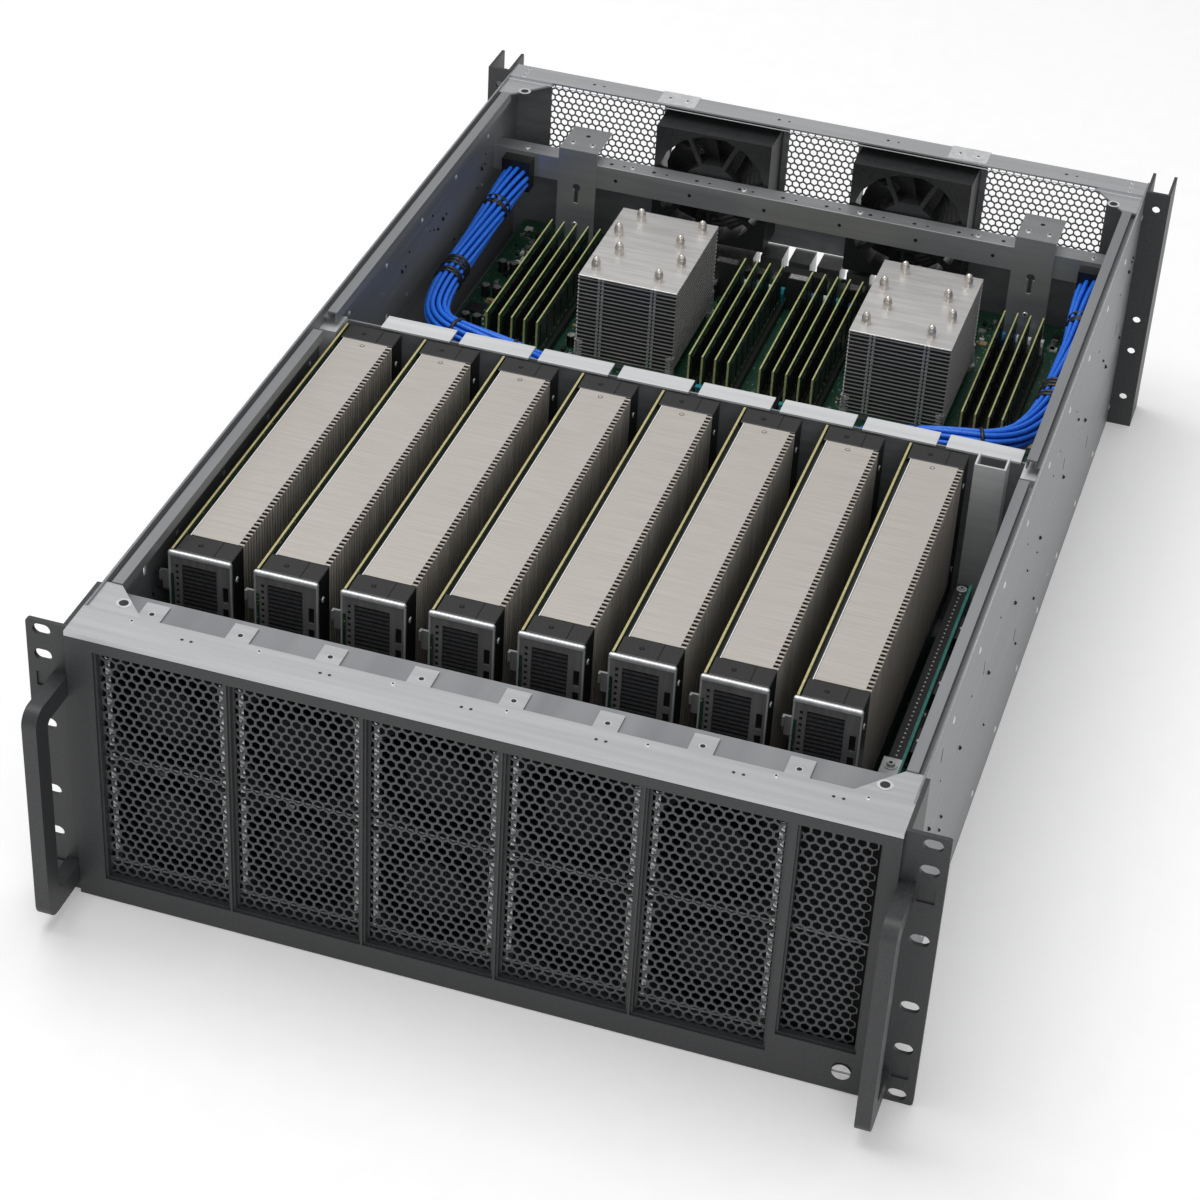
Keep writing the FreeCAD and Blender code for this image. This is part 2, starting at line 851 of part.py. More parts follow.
def card_caps(x):
    """Plastic ducts at the two ends of a card's heat sink, open for the air."""
    left = x + board_thickness + cap_gap
    right = x + card_width
    low = card_bottom + sink_bottom_gap
    caps = []
    for start in (card_front, card_rear - cap_length):
        shell = block(left, right, start, start + cap_length, low, card_top)
        hollow = block(left + cap_inner_wall, right - cap_outer_wall, start, start + cap_length,
                       low + cap_wall, card_top - cap_wall)
        caps.append(shell.cut(hollow))
    return caps


def card_bracket(x):
    """Metal end bracket in front of a card, open in the middle."""
    left = x - 2 * bracket_proud
    right = x + card_width + bracket_proud
    front = card_front - sheet
    low = card_bottom + bracket_lift
    plate = block(left, right, front, card_front, low, card_top + bracket_proud)
    window = block(left + bracket_strip, right - bracket_strip, front, card_front,
                   low + bracket_sill, card_top - bracket_top_edge)
    lower = block(left + bracket_strip, right - bracket_strip, front, card_front,
                  low + bracket_slot_low, low + bracket_slot_high)
    return plate.cut([window, lower])


def card_clip(x):
    """Bent clip in front of a card: it sits on the fan cage behind the rail."""
    front = rail_depth + clip_setback
    low = cage_top
    top = case_height - 2 * sheet
    outline = [
        (front, low), (front + clip_depth, low), (front + clip_depth, low + sheet),
        (front + sheet, low + sheet), (front + sheet, top), (front, top),
    ]
    centre = x + clip_shift
    return prism(outline, "x", centre - clip_width / 2, centre + clip_width / 2)


def gap_centres():
    """Middle of the gap to the right of each card."""
    half_gap = (card_pitch - card_width) / 2
    return [x + card_width + half_gap for x in card_places()]


def mid_partition():
    """Upright sheet behind the cards with a window behind each card."""
    wall = block(-inside, inside, partition_front, partition_front + sheet, deck_top, partition_top)
    cuts = []
    for x in card_places():
        cuts.append(block(x + partition_window_inset, x + card_width - partition_window_side,
                          partition_front, partition_front + sheet,
                          partition_window_low, partition_window_high))
    return wall.cut(cuts)


def partition_plates():
    """Bright plates along the partition's top, its end post and two wall blocks."""
    pieces = []
    half_plate = (card_pitch - plate_gap) / 2
    start = partition_front - plate_overhang
    for x in gap_centres():
        right = min(x + half_plate, inside - plate_end_gap)
        pieces.append(block(x - half_plate, right, start, start + plate_depth,
                            partition_top, partition_top + sheet))
    left = stand_left
    right = stand_left + stand_width
    front = stand_front
    back = stand_front + stand_depth
    stand = [(left, front), (right, front), (right, back), (right - sheet, back),
             (right - sheet, front + sheet), (left + sheet, front + sheet), (left + sheet, back),
             (left, back)]
    pieces.append(prism(stand, "z", deck_top, stand_top))
    for side in (-1, 1):
        low_x, high_x = sorted((side * inside, side * (inside - wall_block_width)))
        pieces.append(block(low_x, high_x, partition_front - wall_block_depth, partition_front,
                            wall_block_bottom, wall_block_top))
    return pieces


def cross_beam():
    """Folded channel across the case, in front of the rear fans."""
    back = beam_front + beam_depth
    low = beam_top - beam_height
    outline = [
        (beam_front, low), (beam_front, beam_top), (back, beam_top), (back, beam_top - beam_rear_lip),
        (back - sheet, beam_top - beam_rear_lip), (back - sheet, beam_top - sheet),
        (beam_front + sheet, beam_top - sheet),
        (beam_front + sheet, low),
    ]
    return prism(outline, "x", -inside, inside)


def beam_bracket(side):
    """Tall bent bracket that hangs over the beam and reaches down to the main board."""
    front = beam_front - seat - sheet
    outline = [
        (front, main_board_top + seat), (front, bracket_top), (front + bracket_reach, bracket_top),
        (front + bracket_reach, bracket_top - sheet), (front + sheet, bracket_top - sheet),
        (front + sheet, main_board_top + seat),
    ]
    centre = side * bracket_centre
    bent = prism(outline, "x", centre - bracket_width / 2, centre + bracket_width / 2)
    ends = polygon(keyhole_radius, hole_sides, math.pi / hole_sides)
    ring = [(centre + u, keyhole_height + v) for u, v in ends]
    keyhole = prism(ring, "y", front, front + sheet)
    slot = block(centre - keyhole_slot / 2, centre + keyhole_slot / 2, front, front + sheet,
                 keyhole_height - keyhole_drop, keyhole_height)
    return bent.cut([keyhole, slot])


def module_places():
    """Middle of each memory module, bank by bank."""
    places = []
    for share, count in zip(bank_shares, bank_counts):
        start = share * main_board_width - (count - 1) * module_pitch / 2
        places += [start + k * module_pitch for k in range(count)]
    return places


def cooler_centres():
    """Middle of each processor cooler."""
    return [share * main_board_width for share in cooler_shares]


def main_board():
    """Main circuit board."""
    half = main_board_width / 2
    return block(-half, half, main_board_front, main_board_rear,
                 main_board_top - board_thickness, main_board_top)


def card_main_board():
    """Board that carries the card slots, with an upright board beside the last card."""
    half = card_board_width / 2
    flat = block(-half, half, card_board_front, card_board_rear,
                 card_board_top - board_thickness, card_board_top)
    right = inside - riser_gap + board_thickness
    upright = block(inside - riser_gap, right, riser_front, riser_rear, card_board_top, riser_top)
    return fused([flat, upright])


def riser_rail():
    """Black rail along the upright board's inner face."""
    right = inside - riser_gap
    top = riser_top - rail_bar_drop
    return block(right - rail_bar_width, right, rail_bar_front, riser_rear, top - rail_bar_height, top)


def card_slot(x):
    """Card socket: a body with a groove that takes the card's edge tongue."""
    middle = x + board_thickness / 2
    half = slot_width / 2
    body = block(middle - half, middle + half, slot_front, slot_front + slot_length,
                 card_board_top, card_board_top + slot_height)
    groove = block(x, x + board_thickness, slot_front + slot_end_wall,
                   slot_front + slot_length - slot_end_wall,
                   card_bottom, card_board_top + slot_height)
    return body.cut(groove)


def memory_socket(x):
    """Memory socket with a groove for its module and a notch for the latch at each end."""
    half = socket_width / 2
    top = main_board_top + socket_height
    body = block(x - half, x + half, socket_front, socket_front + socket_length, main_board_top, top)
    thin = module_board / 2
    groove = block(x - thin, x + thin, module_front, module_front + module_length,
                   module_bottom, top)
    latch_room = latch_thickness / 2 + seat
    ends = []
    for start in (socket_front, socket_front + socket_length - latch_notch):
        ends.append(block(x - latch_room, x + latch_room, start, start + latch_notch,
                          main_board_top + latch_notch_floor, top))
    return body.cut([groove] + ends)


def memory_module(x):
    """Memory module: a thin board with chips on both faces above the socket."""
    thin = module_board / 2
    top = module_bottom + module_height
    board = block(x - thin, x + thin, module_front, module_front + module_length, module_bottom, top)
    chips = block(x - module_thickness / 2, x + module_thickness / 2, module_front + module_chip_end,
                  module_front + module_length - module_chip_end, module_bottom + module_chip_low,
                  top - module_chip_high)
    return fused([board, chips])


def memory_latch(x, front):
    """Hooked latch at one end of a memory socket."""
    outer = socket_front + latch_inset
    inner = outer + latch_stem
    foot = main_board_top + latch_lift
    top = main_board_top + latch_height
    hook = latch_stem / 4
    outline = [
        (outer, foot), (inner, foot), (inner + hook, top - 4 * hook),
        (inner - hook, top), (outer - 2 * hook, top), (outer, top - 5 * hook),
    ]
    latch = prism(outline, "x", x - latch_thickness / 2, x + latch_thickness / 2)
    if front:
        return latch
    middle = face_y + socket_front + socket_length / 2
    return latch.mirror(FreeCAD.Vector(0, middle, 0), FreeCAD.Vector(0, 1, 0))


def cooler(x):
    """Processor cooler: base block and a stack of flat fins around a core."""
    half = cooler_width / 2
    front = cooler_middle - cooler_length / 2
    back = cooler_middle + cooler_length / 2
    base = block(x - half + cooler_base_inset, x + half - cooler_base_inset, front + cooler_base_end,
                 back - cooler_base_end, main_board_top, stack_bottom)
    stack = block(x - half, x + half, front, back, stack_bottom, stack_top)
    pitch = cooler_stack_height / cooler_fin_count
    cuts = []
    for k in range(cooler_fin_count):
        low = stack_bottom + (k + 0.5) * pitch - cooler_fin_gap / 2
        for side in (-1, 1):
            x0, x1 = sorted((x + side * cooler_core / 2, x + side * half))
            cuts.append(block(x0, x1, front, back, low, low + cooler_fin_gap))
    return fused([base, stack.cut(cuts)])


def pipe_tips():
    """Heat-pipe ends that stand out of each cooler's top plate, closed by a small cone."""
    tips = []
    stem_top = stack_top + pipe_proud - pipe_radius
    for x in cooler_centres():
        for side in (-1, 1):
            for k in range(pipe_rows):
                d = cooler_middle - cooler_length / 2 + cooler_length * (k + 0.5) / pipe_rows
                stagger = pipe_stagger if k % 2 else -pipe_stagger
                middle = x + side * (cooler_width / 2 - pipe_inset) + stagger
                stem = prism([(middle + u, d + v) for u, v in polygon(pipe_radius, pipe_sides)], "z",
                             stack_top, stem_top)
                rings = []
                for radius, height in ((pipe_radius, stem_top), (pipe_tip_radius, stack_top + pipe_proud)):
                    corners = [vector(middle + u, d + v, height) for u, v in polygon(radius, pipe_sides)]
                    rings.append(Part.makePolygon(corners + corners[:1]))
                tips.append(fused([stem, Part.makeLoft(rings, True, True)]))
    return tips


def ports():
    """Start, width and height of each rear port, from left to right."""
    rows = []
    start = port_row_start
    for name, width in zip(port_names, port_widths):
        height = screen_port_height if name in ("serial", "screen") else port_height
        rows.append((name, start, width, height))
        start += width + port_gap
    return rows


def rear_io_ports():
    """Port shells on the board's rear edge, each with its hollow."""
    shells = []
    back = case_depth
    for name, start, width, height in ports():
        low = main_board_top
        shell = block(start, start + width, back - port_depth, back, low, low + height)
        if name not in ("serial", "screen"):
            inner = back - port_depth + port_back
            hollow = block(start + port_wall, start + width - port_wall, inner, back,
                           low + port_wall, low + height - port_wall)
            shell = shell.cut(hollow)
        shells.append(shell)
    return shells


def plug(x, middle, width, length, height):
    """Upright plug body on the main board."""
    return block(x - width / 2, x + width / 2, middle - length / 2, middle + length / 2,
                 main_board_top, main_board_top + height)


def board_connectors():
    """Power and drive plugs, coil rows behind the coolers and a finned chip cooler."""
    pieces = []
    for side in (-1, 1):
        pieces.append(plug(side * power_plug_x, power_plug_middle, power_plug_width,
                           power_plug_length, power_plug_height))
    drive_middle = main_board_front + drive_plug_share * front_room
    for x, width in zip(drive_plugs_x, drive_plugs_width):
        pieces.append(plug(x, drive_middle, width, drive_plug_length, drive_plug_height))
    pieces.append(plug(stack_plug_x, beam_front + stack_plug_depth, stack_plug_width,
                       stack_plug_depth, stack_plug_height))
    coil_middle = beam_front - coil_row_setback + coil_row_depth / 2
    for x in cooler_centres():
        pieces.append(plug(x, coil_middle, coil_row_width, coil_row_depth, coil_row_height))
    low = main_board_top
    left = -main_board_width / 2 + chip_sink_edge
    middle = main_board_front + chip_sink_share * front_room
    half = chip_sink_share * front_room / 2
    sink = block(left, left + chip_sink_width, middle - half, middle + half, low, low + chip_sink_height)
    pitch = chip_sink_width / (2 * chip_fin_count - 1)
    grooves = []
    for k in range(chip_fin_count - 1):
        start = left + (2 * k + 1) * pitch
        grooves.append(block(start, start + pitch, middle - half, middle + half,
                             low + chip_sink_base, low + chip_sink_height))
    pieces.append(sink.cut(grooves))
    return pieces


def supply_centres():
    """Middle of each power supply."""
    first = -supply_pitch * (supply_count - 1) / 2
    return [first + k * supply_pitch for k in range(supply_count)]


def power_supply(x):
    """Slide-in power supply: inlet, fan recess and a pull bow on its rear face."""
    half = supply_width / 2
    top = supply_bottom + supply_height
    middle = supply_bottom + supply_height / 2
    back = case_depth
    body = block(x - half, x + half, supply_front, back, supply_bottom, top)
    inlet_x = x + half - supply_inlet_edge - supply_inlet_width
    fan_x = x - half + supply_fan_radius + supply_fan_edge
    ring = [(fan_x + u, middle + v) for u, v in polygon(supply_fan_radius, duct_sides)]
    cuts = [
        block(inlet_x, inlet_x + supply_inlet_width, back - supply_inlet_depth, back,
              middle - supply_inlet_height / 2, middle + supply_inlet_height / 2),
        prism(ring, "y", back - supply_fan_recess, back),
    ]
    body = body.cut(cuts)
    reach = back + supply_handle_reach
    left = x - half + supply_handle_edge
    right = left + supply_handle_span
    bevel = supply_handle_bevel
    inner = bevel + 0.4 * supply_handle_bar
    bar = supply_handle_bar
    outline = [
        (left, back), (left, reach - bevel), (left + bevel, reach), (right - bevel, reach),
        (right, reach - bevel), (right, back), (right - bar, back), (right - bar, reach - inner),
        (right - inner, reach - bar), (left + inner, reach - bar), (left + bar, reach - inner),
        (left + bar, back),
    ]
    low = top - supply_handle_width
    bow = prism(outline, "z", low, top)
    return fused([body, bow])


def supply_latch(x):
    """Thumb latch beside the bow, on a pin in the supply's rear face."""
    half = supply_width / 2
    edge = x + half - supply_latch_edge
    low = supply_bottom + supply_latch_lift
    back = case_depth + seat
    hook = supply_latch_hook
    thick = supply_latch_thickness
    tip = back + supply_latch_reach
    outline = [
        (edge - thick, back), (edge, back), (edge, tip - hook), (edge - hook, tip),
        (edge - hook - thick, tip), (edge - thick, tip - hook - thick / 2),
    ]
    return prism(outline, "z", low, low + supply_latch_width)


def rear_wall():
    """Rear sheet: bays for the supplies, the port opening, fan openings and honeycomb vents."""
    wall = block(-inside, inside, rear_face, case_depth, sheet, case_height - sheet)
    cuts = []
    room = supply_clearance
    for x in supply_centres():
        half = supply_width / 2 + room
        cuts.append(block(x - half, x + half, rear_face, case_depth, sheet,
                          supply_bottom + supply_height + room))
    rows = ports()
    last = rows[-1][1] + rows[-1][2]
    gap = port_clearance
    cuts.append(block(port_row_start - gap, last + gap, rear_face, case_depth,
                      main_board_top - board_thickness - gap, main_board_top + port_height + gap))
    for x in rear_fan_centres:
        cuts.append(rod(rear_fan_duct, sheet, x, rear_face, rear_fan_middle, "y"))
    fan_edge = rear_fan_size / 2 + rear_fan_clearance
    left, right = rear_fan_centres
    fields = [(-inside + vent_side, left - fan_edge), (left + fan_edge, right - fan_edge),
              (right + fan_edge, inside - vent_side)]
    for x0, x1 in fields:
        columns = round((x1 - x0) / vent_pitch)
        for outline in hexagons(x0, x1, vent_bottom, vent_top, columns, vent_web):
            cuts.append(prism(outline, "y", rear_face, case_depth))
    return wall.cut(cuts)


def bundle_route(side):
    """Corner points of a cable bundle: down from the beam, along the wall and in to its plug."""
    wall = bundle_wall_x
    clip = wall - bundle_clip_inset
    top = bundle_clip_height
    span = bundle_clip_front - power_plug_middle
    plug_x = power_plug_x
    low = main_board_top + power_plug_height
    bend = [
        (clip, 1.0, top), (clip, 0.88, top), (wall, 0.733, top - 7), (wall - 1, 0.5, top - 8),
        (wall - 3, 0.21, top - 7), (wall - 16, -0.01, top - 4), (plug_x + 59, -0.068, top - 3),
        (plug_x + 25, -0.052, top - 12), (plug_x, 0.0, low + 16), (plug_x, 0.0, low),
    ]
    return [vector(side * x, power_plug_middle + share * span, z) for x, share, z in bend]


def cable(points, diameter):
    """Cable along straight runs that tangent arcs join, with a many-sided section."""
    edges = []
    start = points[0]
    for before, corner, after in zip(points, points[1:], points[2:]):
        back = before - corner
        ahead = after - corner
        turn = math.pi - back.getAngle(ahead)
        reach = bend_share * min(back.Length, ahead.Length)
        back.normalize()
        ahead.normalize()
        enter = corner + back * reach
        leave = corner + ahead * reach
        bisector = back + ahead
        bisector.normalize()
        radius = reach / math.tan(turn / 2)
        sag = radius / math.cos(turn / 2) - radius
        edges.append(Part.LineSegment(start, enter).toShape())
        edges.append(Part.Arc(enter, corner + bisector * sag, leave).toShape())
        start = leave
    edges.append(Part.LineSegment(start, points[-1]).toShape())
    path = Part.Wire(edges)
    ring = [points[0] + FreeCAD.Vector(u, 0, v) for u, v in polygon(diameter / 2, bundle_sides)]
    tube = path.makePipeShell([Part.makePolygon(ring + ring[:1])], True, False)
    print("cable length", round(path.Length, 1), "volume", round(tube.Volume, 1), tube.isValid())
    return tube


def harness_ties():
    """Clip blocks at the beam's ends where the bundles start."""
    clips = []
    for side in (-1, 1):
        middle = bundle_wall_x - bundle_clip_inset
        x0, x1 = sorted((side * (middle - bundle_clip_width / 2), side * (middle + bundle_clip_width / 2)))
        clips.append(block(x0, x1, bundle_clip_front, beam_front,
                           bundle_clip_height - bundle_clip_drop, bundle_clip_height + bundle_clip_rise))
    return clips


def power_board():
    """Upright board in front of the power supplies, with one socket for each."""
    back = supply_front - seat
    height = supply_height - power_board_drop
    half = supply_pitch * supply_count / 2
    front = back - socket_reach
    pieces = [block(-half, half, front - board_thickness, front, sheet, sheet + height)]
    for x in supply_centres():
        low = sheet + socket_lift
        pieces.append(block(x - socket_half_width, x + socket_half_width, front, back,
                            low, low + socket_tall))
    return fused(pieces)


parts["chassis_floor"] = [chassis_floor()]
parts["side_wall_right"] = [side_wall_right()]
parts["side_wall_left"] = [mirrored(side_wall_right())]
parts["rear_wall"] = [rear_wall()]
front_gusset = corner_gusset(rail_depth, 1)
rear_gusset = corner_gusset(rear_face - rear_rail_depth, -1)
gussets = [front_gusset, mirrored(front_gusset), rear_gusset, mirrored(rear_gusset)]
parts["top_rails"] = top_rails() + gussets
parts["bezel_frame"] = [bezel_frame()]
parts["bezel_mesh"] = [bezel_mesh()]
parts["bezel_lock"] = [bezel_lock()]
parts["rack_ears"] = [ear_right(), mirrored(ear_right())]
parts["handle_right"] = [handle_right()]
parts["handle_left"] = [mirrored(handle_right())]
parts["rear_posts"] = [rear_post_right(), mirrored(rear_post_right())]
parts["mid_deck"] = [mid_deck()]
parts["fan_cage"] = [fan_cage()]
parts["front_fan_frames"] = []
strut_face = fan_front + fan_depth - strut_depth
for number, (x, z) in enumerate(front_fan_places(), 1):
    parts["front_fan_frames"].append(
        fan_frame(x, z, fan_width, fan_height, fan_duct, fan_front, fan_depth,
                  front_strut_count, strut_face))
    parts["front_rotor_%d" % number] = [
        rotor(x, z, fan_duct, fan_front + hub_setback, strut_face - seat,
              front_blade_count, front_blade_angles)]
parts["rear_fan_frames"] = []
rear_fan_front = rear_face - rear_fan_depth
for number, x in enumerate(rear_fan_centres, 1):
    parts["rear_fan_frames"].append(
        fan_frame(x, rear_fan_middle, rear_fan_size, rear_fan_size, rear_fan_duct,
                  rear_fan_front, rear_fan_depth, rear_strut_count, rear_fan_front))
    parts["rear_rotor_%d" % number] = [
        rotor(x, rear_fan_middle, rear_fan_duct, rear_fan_front + strut_depth + seat,
              rear_face - hub_setback, rear_blade_count, rear_blade_angles)]
parts["card_board"] = [card_main_board()]
parts["card_slots"] = [card_slot(x) for x in card_places()] + [riser_rail()]
parts["card_circuit_boards"] = [card_board(x) for x in card_places()]
parts["card_heat_sinks"] = [card_sink(x) for x in card_places()]
parts["card_end_caps"] = [cap for x in card_places() for cap in card_caps(x)]
parts["card_brackets"] = [card_bracket(x) for x in card_places()]
parts["card_clips"] = [card_clip(x) for x in card_places()]
parts["mid_partition"] = [mid_partition()]
parts["partition_plates"] = partition_plates()
parts["cross_beam"] = [cross_beam()]
parts["beam_brackets"] = [beam_bracket(-1), beam_bracket(1)]
parts["main_board"] = [main_board()]
parts["memory_sockets"] = [memory_socket(x) for x in module_places()]
parts["memory_modules"] = [memory_module(x) for x in module_places()]
parts["memory_latches_front"] = [memory_latch(x, True) for x in module_places()]
parts["memory_latches_rear"] = [memory_latch(x, False) for x in module_places()]
parts["processor_coolers"] = [cooler(x) for x in cooler_centres()]
parts["heat_pipe_tips"] = pipe_tips()
parts["board_connectors"] = board_connectors()
parts["rear_io_ports"] = rear_io_ports()
parts["harness_left"] = [cable(bundle_route(-1), bundle_diameter)]
parts["harness_right"] = [cable(bundle_route(1), bundle_diameter)]
parts["harness_clips"] = harness_ties()
parts["power_board"] = [power_board()]
for number, x in enumerate(supply_centres(), 1):
    parts["power_supply_%d" % number] = [power_supply(x)]
    parts["supply_latch_%d" % number] = [supply_latch(x)]

os.makedirs("parts", exist_ok=True)
for name, solids in parts.items():
    whole = solids[0] if len(solids) == 1 else Part.makeCompound(solids)
    whole.exportStep("parts/%s.step" % name)
print(len(parts), "nodes")
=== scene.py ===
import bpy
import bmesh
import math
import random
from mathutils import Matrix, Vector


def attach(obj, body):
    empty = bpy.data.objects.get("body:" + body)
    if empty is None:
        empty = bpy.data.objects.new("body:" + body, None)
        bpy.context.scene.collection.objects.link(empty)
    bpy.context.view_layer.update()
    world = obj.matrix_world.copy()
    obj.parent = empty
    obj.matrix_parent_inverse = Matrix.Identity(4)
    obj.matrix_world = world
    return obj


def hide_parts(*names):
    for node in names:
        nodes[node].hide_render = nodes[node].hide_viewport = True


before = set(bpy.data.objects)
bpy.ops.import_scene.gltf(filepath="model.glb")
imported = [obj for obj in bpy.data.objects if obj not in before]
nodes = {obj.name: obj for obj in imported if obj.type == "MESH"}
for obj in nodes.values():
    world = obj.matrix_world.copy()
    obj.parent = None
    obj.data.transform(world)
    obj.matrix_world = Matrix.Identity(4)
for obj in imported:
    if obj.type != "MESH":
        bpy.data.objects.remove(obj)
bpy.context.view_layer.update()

# %% [markdown]
# # An open four-unit rack server for eight accelerator cards
# This lesson dresses a CAD model of a rack server whose lid is off. The model has every sheet,
# fan, card and joint at its place, so the work here is finish and fine detail. Places are written
# in millimetres, as on the drawing: x along the front, d as the depth behind the face of the
# bezel, and z upwards. One helper turns them into the scene's metres.

mm = 0.001
face_y = -346.5


def place(x, d, z):
    """A point given in drawing millimetres, as metres in the scene."""
    return Vector((x, face_y + d, z)) * mm


def new_object(name, data):
    """An object that shows some data, put in the scene."""
    made = bpy.data.objects.new(name, data)
    bpy.context.collection.objects.link(made)
    return made


# %% [markdown]
# ## The camera
# A product photographer stands in front of the case, a little to the right and well above it,
# with a long lens, so that the case narrows only gently to the rear. A 91 mm lens on a 36 mm wide
# sensor gives that view. Three angles turn it: the tilt down, a slight roll and the swing.

# %% The camera
view = bpy.data.cameras.new("view")
view.lens = 91
view.sensor_width = 36
camera = new_object("view", view)
camera.location = (0.37534, -1.44764, 1.10151)
camera.rotation_euler = (math.radians(53.99), math.radians(-2.79), math.radians(17.91))
bpy.context.scene.camera = camera
bpy.context.scene.view_settings.view_transform = "Standard"
print("camera", tuple(round(value, 3) for value in camera.location))

# %% [markdown]
# ## Procedural finishes
# Every finish is worked out from the piece's own coordinates, so it stays put when a part moves.
# One builder covers them: two tones mixed by noise, a roughness that wanders a little and a fine
# bump. Noise stretched along one axis gives the drawn look of rolled sheet.


# %% A finish from two tones of noise
def connect(material, socket, value):
    """Link an input socket to another node's output, or set its number or colour."""
    if isinstance(value, bpy.types.NodeSocket):
        material.node_tree.links.new(value, socket)
    else:
        socket.default_value = value


def feed(material, node, **values):
    """Fill a node's input sockets; each keyword is a socket's name."""
    for name, value in values.items():
        connect(material, node.inputs[name.replace("_", " ")], value)
    return node


def add_node(material, kind, **values):
    """A new shader node with some of its sockets filled."""
    return feed(material, material.node_tree.nodes.new(kind), **values)


def add_math(material, operation, first, second):
    """The result of an operation on a socket and on a second socket or a number."""
    node = add_node(material, "ShaderNodeMath", Value=first)
    node.operation = operation
    connect(material, node.inputs[1], second)
    return node.outputs["Value"]


def two_tones(material, factor, low, high):
    """A colour ramp between two colours, driven by a socket."""
    ramp = add_node(material, "ShaderNodeValToRGB", Fac=factor)
    for stop, position, colour in zip(ramp.color_ramp.elements, (0.35, 0.65), (low, high)):
        stop.position = position
        stop.color = (*colour, 1)
    return ramp.outputs["Color"]


def shade(material, **values):
    """Fill sockets of the material's own shader."""
    feed(material, material.node_tree.nodes["Principled BSDF"], **values)


def finish(name, low, high, roughness, metallic=0, scale=60, stretch=(1, 1, 1), bump=0.1,
           depth=0.2):
    """Two tones of noise with uneven roughness and a bump, its depth in millimetres."""
    material = bpy.data.materials.new(name)
    material.use_nodes = True
    here = add_node(material, "ShaderNodeTexCoord").outputs["Object"]
    mapping = add_node(material, "ShaderNodeMapping", Vector=here, Scale=stretch)
    noise = add_node(material, "ShaderNodeTexNoise", Vector=mapping.outputs["Vector"],
                     Scale=scale, Detail=3).outputs["Fac"]
    gloss = add_node(material, "ShaderNodeMapRange", Value=noise, To_Min=roughness[0],
                     To_Max=roughness[1])
    relief = add_node(material, "ShaderNodeBump", Height=noise, Strength=bump,
                      Distance=depth * mm)
    shade(material, Metallic=metallic, Base_Color=two_tones(material, noise, low, high),
          Roughness=gloss.outputs["Result"], Normal=relief.outputs["Normal"])
    return material


def fine(name, low, high, roughness, scale, bump=0.1, depth=0.03, metallic=0):
    """A finish of fine, even grain, for paint, plastic, plating and small parts."""
    return finish(name, low, high, roughness, metallic, scale, (1, 1, 1), bump, depth)


def dress(material, slot, *names):
    """Give CAD nodes one finish. The slot argument is not used."""
    for name in names:
        data = nodes[name].data
        data.materials.clear()
        data.materials.append(material)
    print(material.name, "on", len(names), "nodes")


# %% [markdown]
# ## Floor and studio light
# A wide plane stands for the studio's white sweep. A soft lamp over the case and a weaker one at
# its front light it, and a white world fills the shadows. A Light Path node gives the paper a
# faint glow for the camera and reflections only, so the floor is white and keeps its shadow.


# %% Floor, backdrop and lamps
def lamp(name, spot, target, size, power):
    """A square soft lamp that points at a target."""
    light = bpy.data.lights.new(name, "AREA")
    light.shape = "SQUARE"
    light.size = size
    light.energy = power
    holder = new_object(name, light)
    holder.location = spot
    direction = Vector(target) - Vector(spot)
    holder.rotation_euler = direction.to_track_quat("-Z", "Y").to_euler()


floor_mesh = bmesh.new()
bmesh.ops.create_grid(floor_mesh, x_segments=1, y_segments=1, size=6)
floor_data = bpy.data.meshes.new("floor")
floor_mesh.to_mesh(floor_data)
floor_mesh.free()
floor = new_object("floor", floor_data)
paper = finish("floor_paper", (0.93, 0.93, 0.93), (0.95, 0.95, 0.95), (0.8, 0.9))
ray = add_node(paper, "ShaderNodeLightPath").outputs
seen = add_math(paper, "MAXIMUM", ray["Is Camera Ray"], ray["Is Glossy Ray"])
seen = add_math(paper, "MAXIMUM", seen, ray["Is Transmission Ray"])
glow = add_math(paper, "MULTIPLY", seen, 0.14)
shade(paper, Emission_Color=(1, 1, 1, 1), Emission_Strength=glow)
floor_data.materials.append(paper)
lamp("over", (-0.5, 0.1, 2.2), (0, 0, 0), 1.6, 27)
lamp("front", (0.9, -2.2, 1.4), (0, -0.1, 0.1), 1.2, 9)
world = bpy.data.worlds.new("studio")
world.use_nodes = True
sky = world.node_tree.nodes["Background"]
sky.inputs["Color"].default_value = (1, 1, 1, 1)
sky.inputs["Strength"].default_value = 0.5
bpy.context.scene.world = world
print("lamps and floor ready")

# %% [markdown]
# ## Steel and aluminium
# The case is folded from zinc-coated sheet, grey with a soft grain. Rails, plates and brackets
# are brighter. Bezel, ears, handles and posts have a satin black coat with a fine bump. Each
# finish is a row of a table: name, two tones, roughness, and the size and depth of its grain.

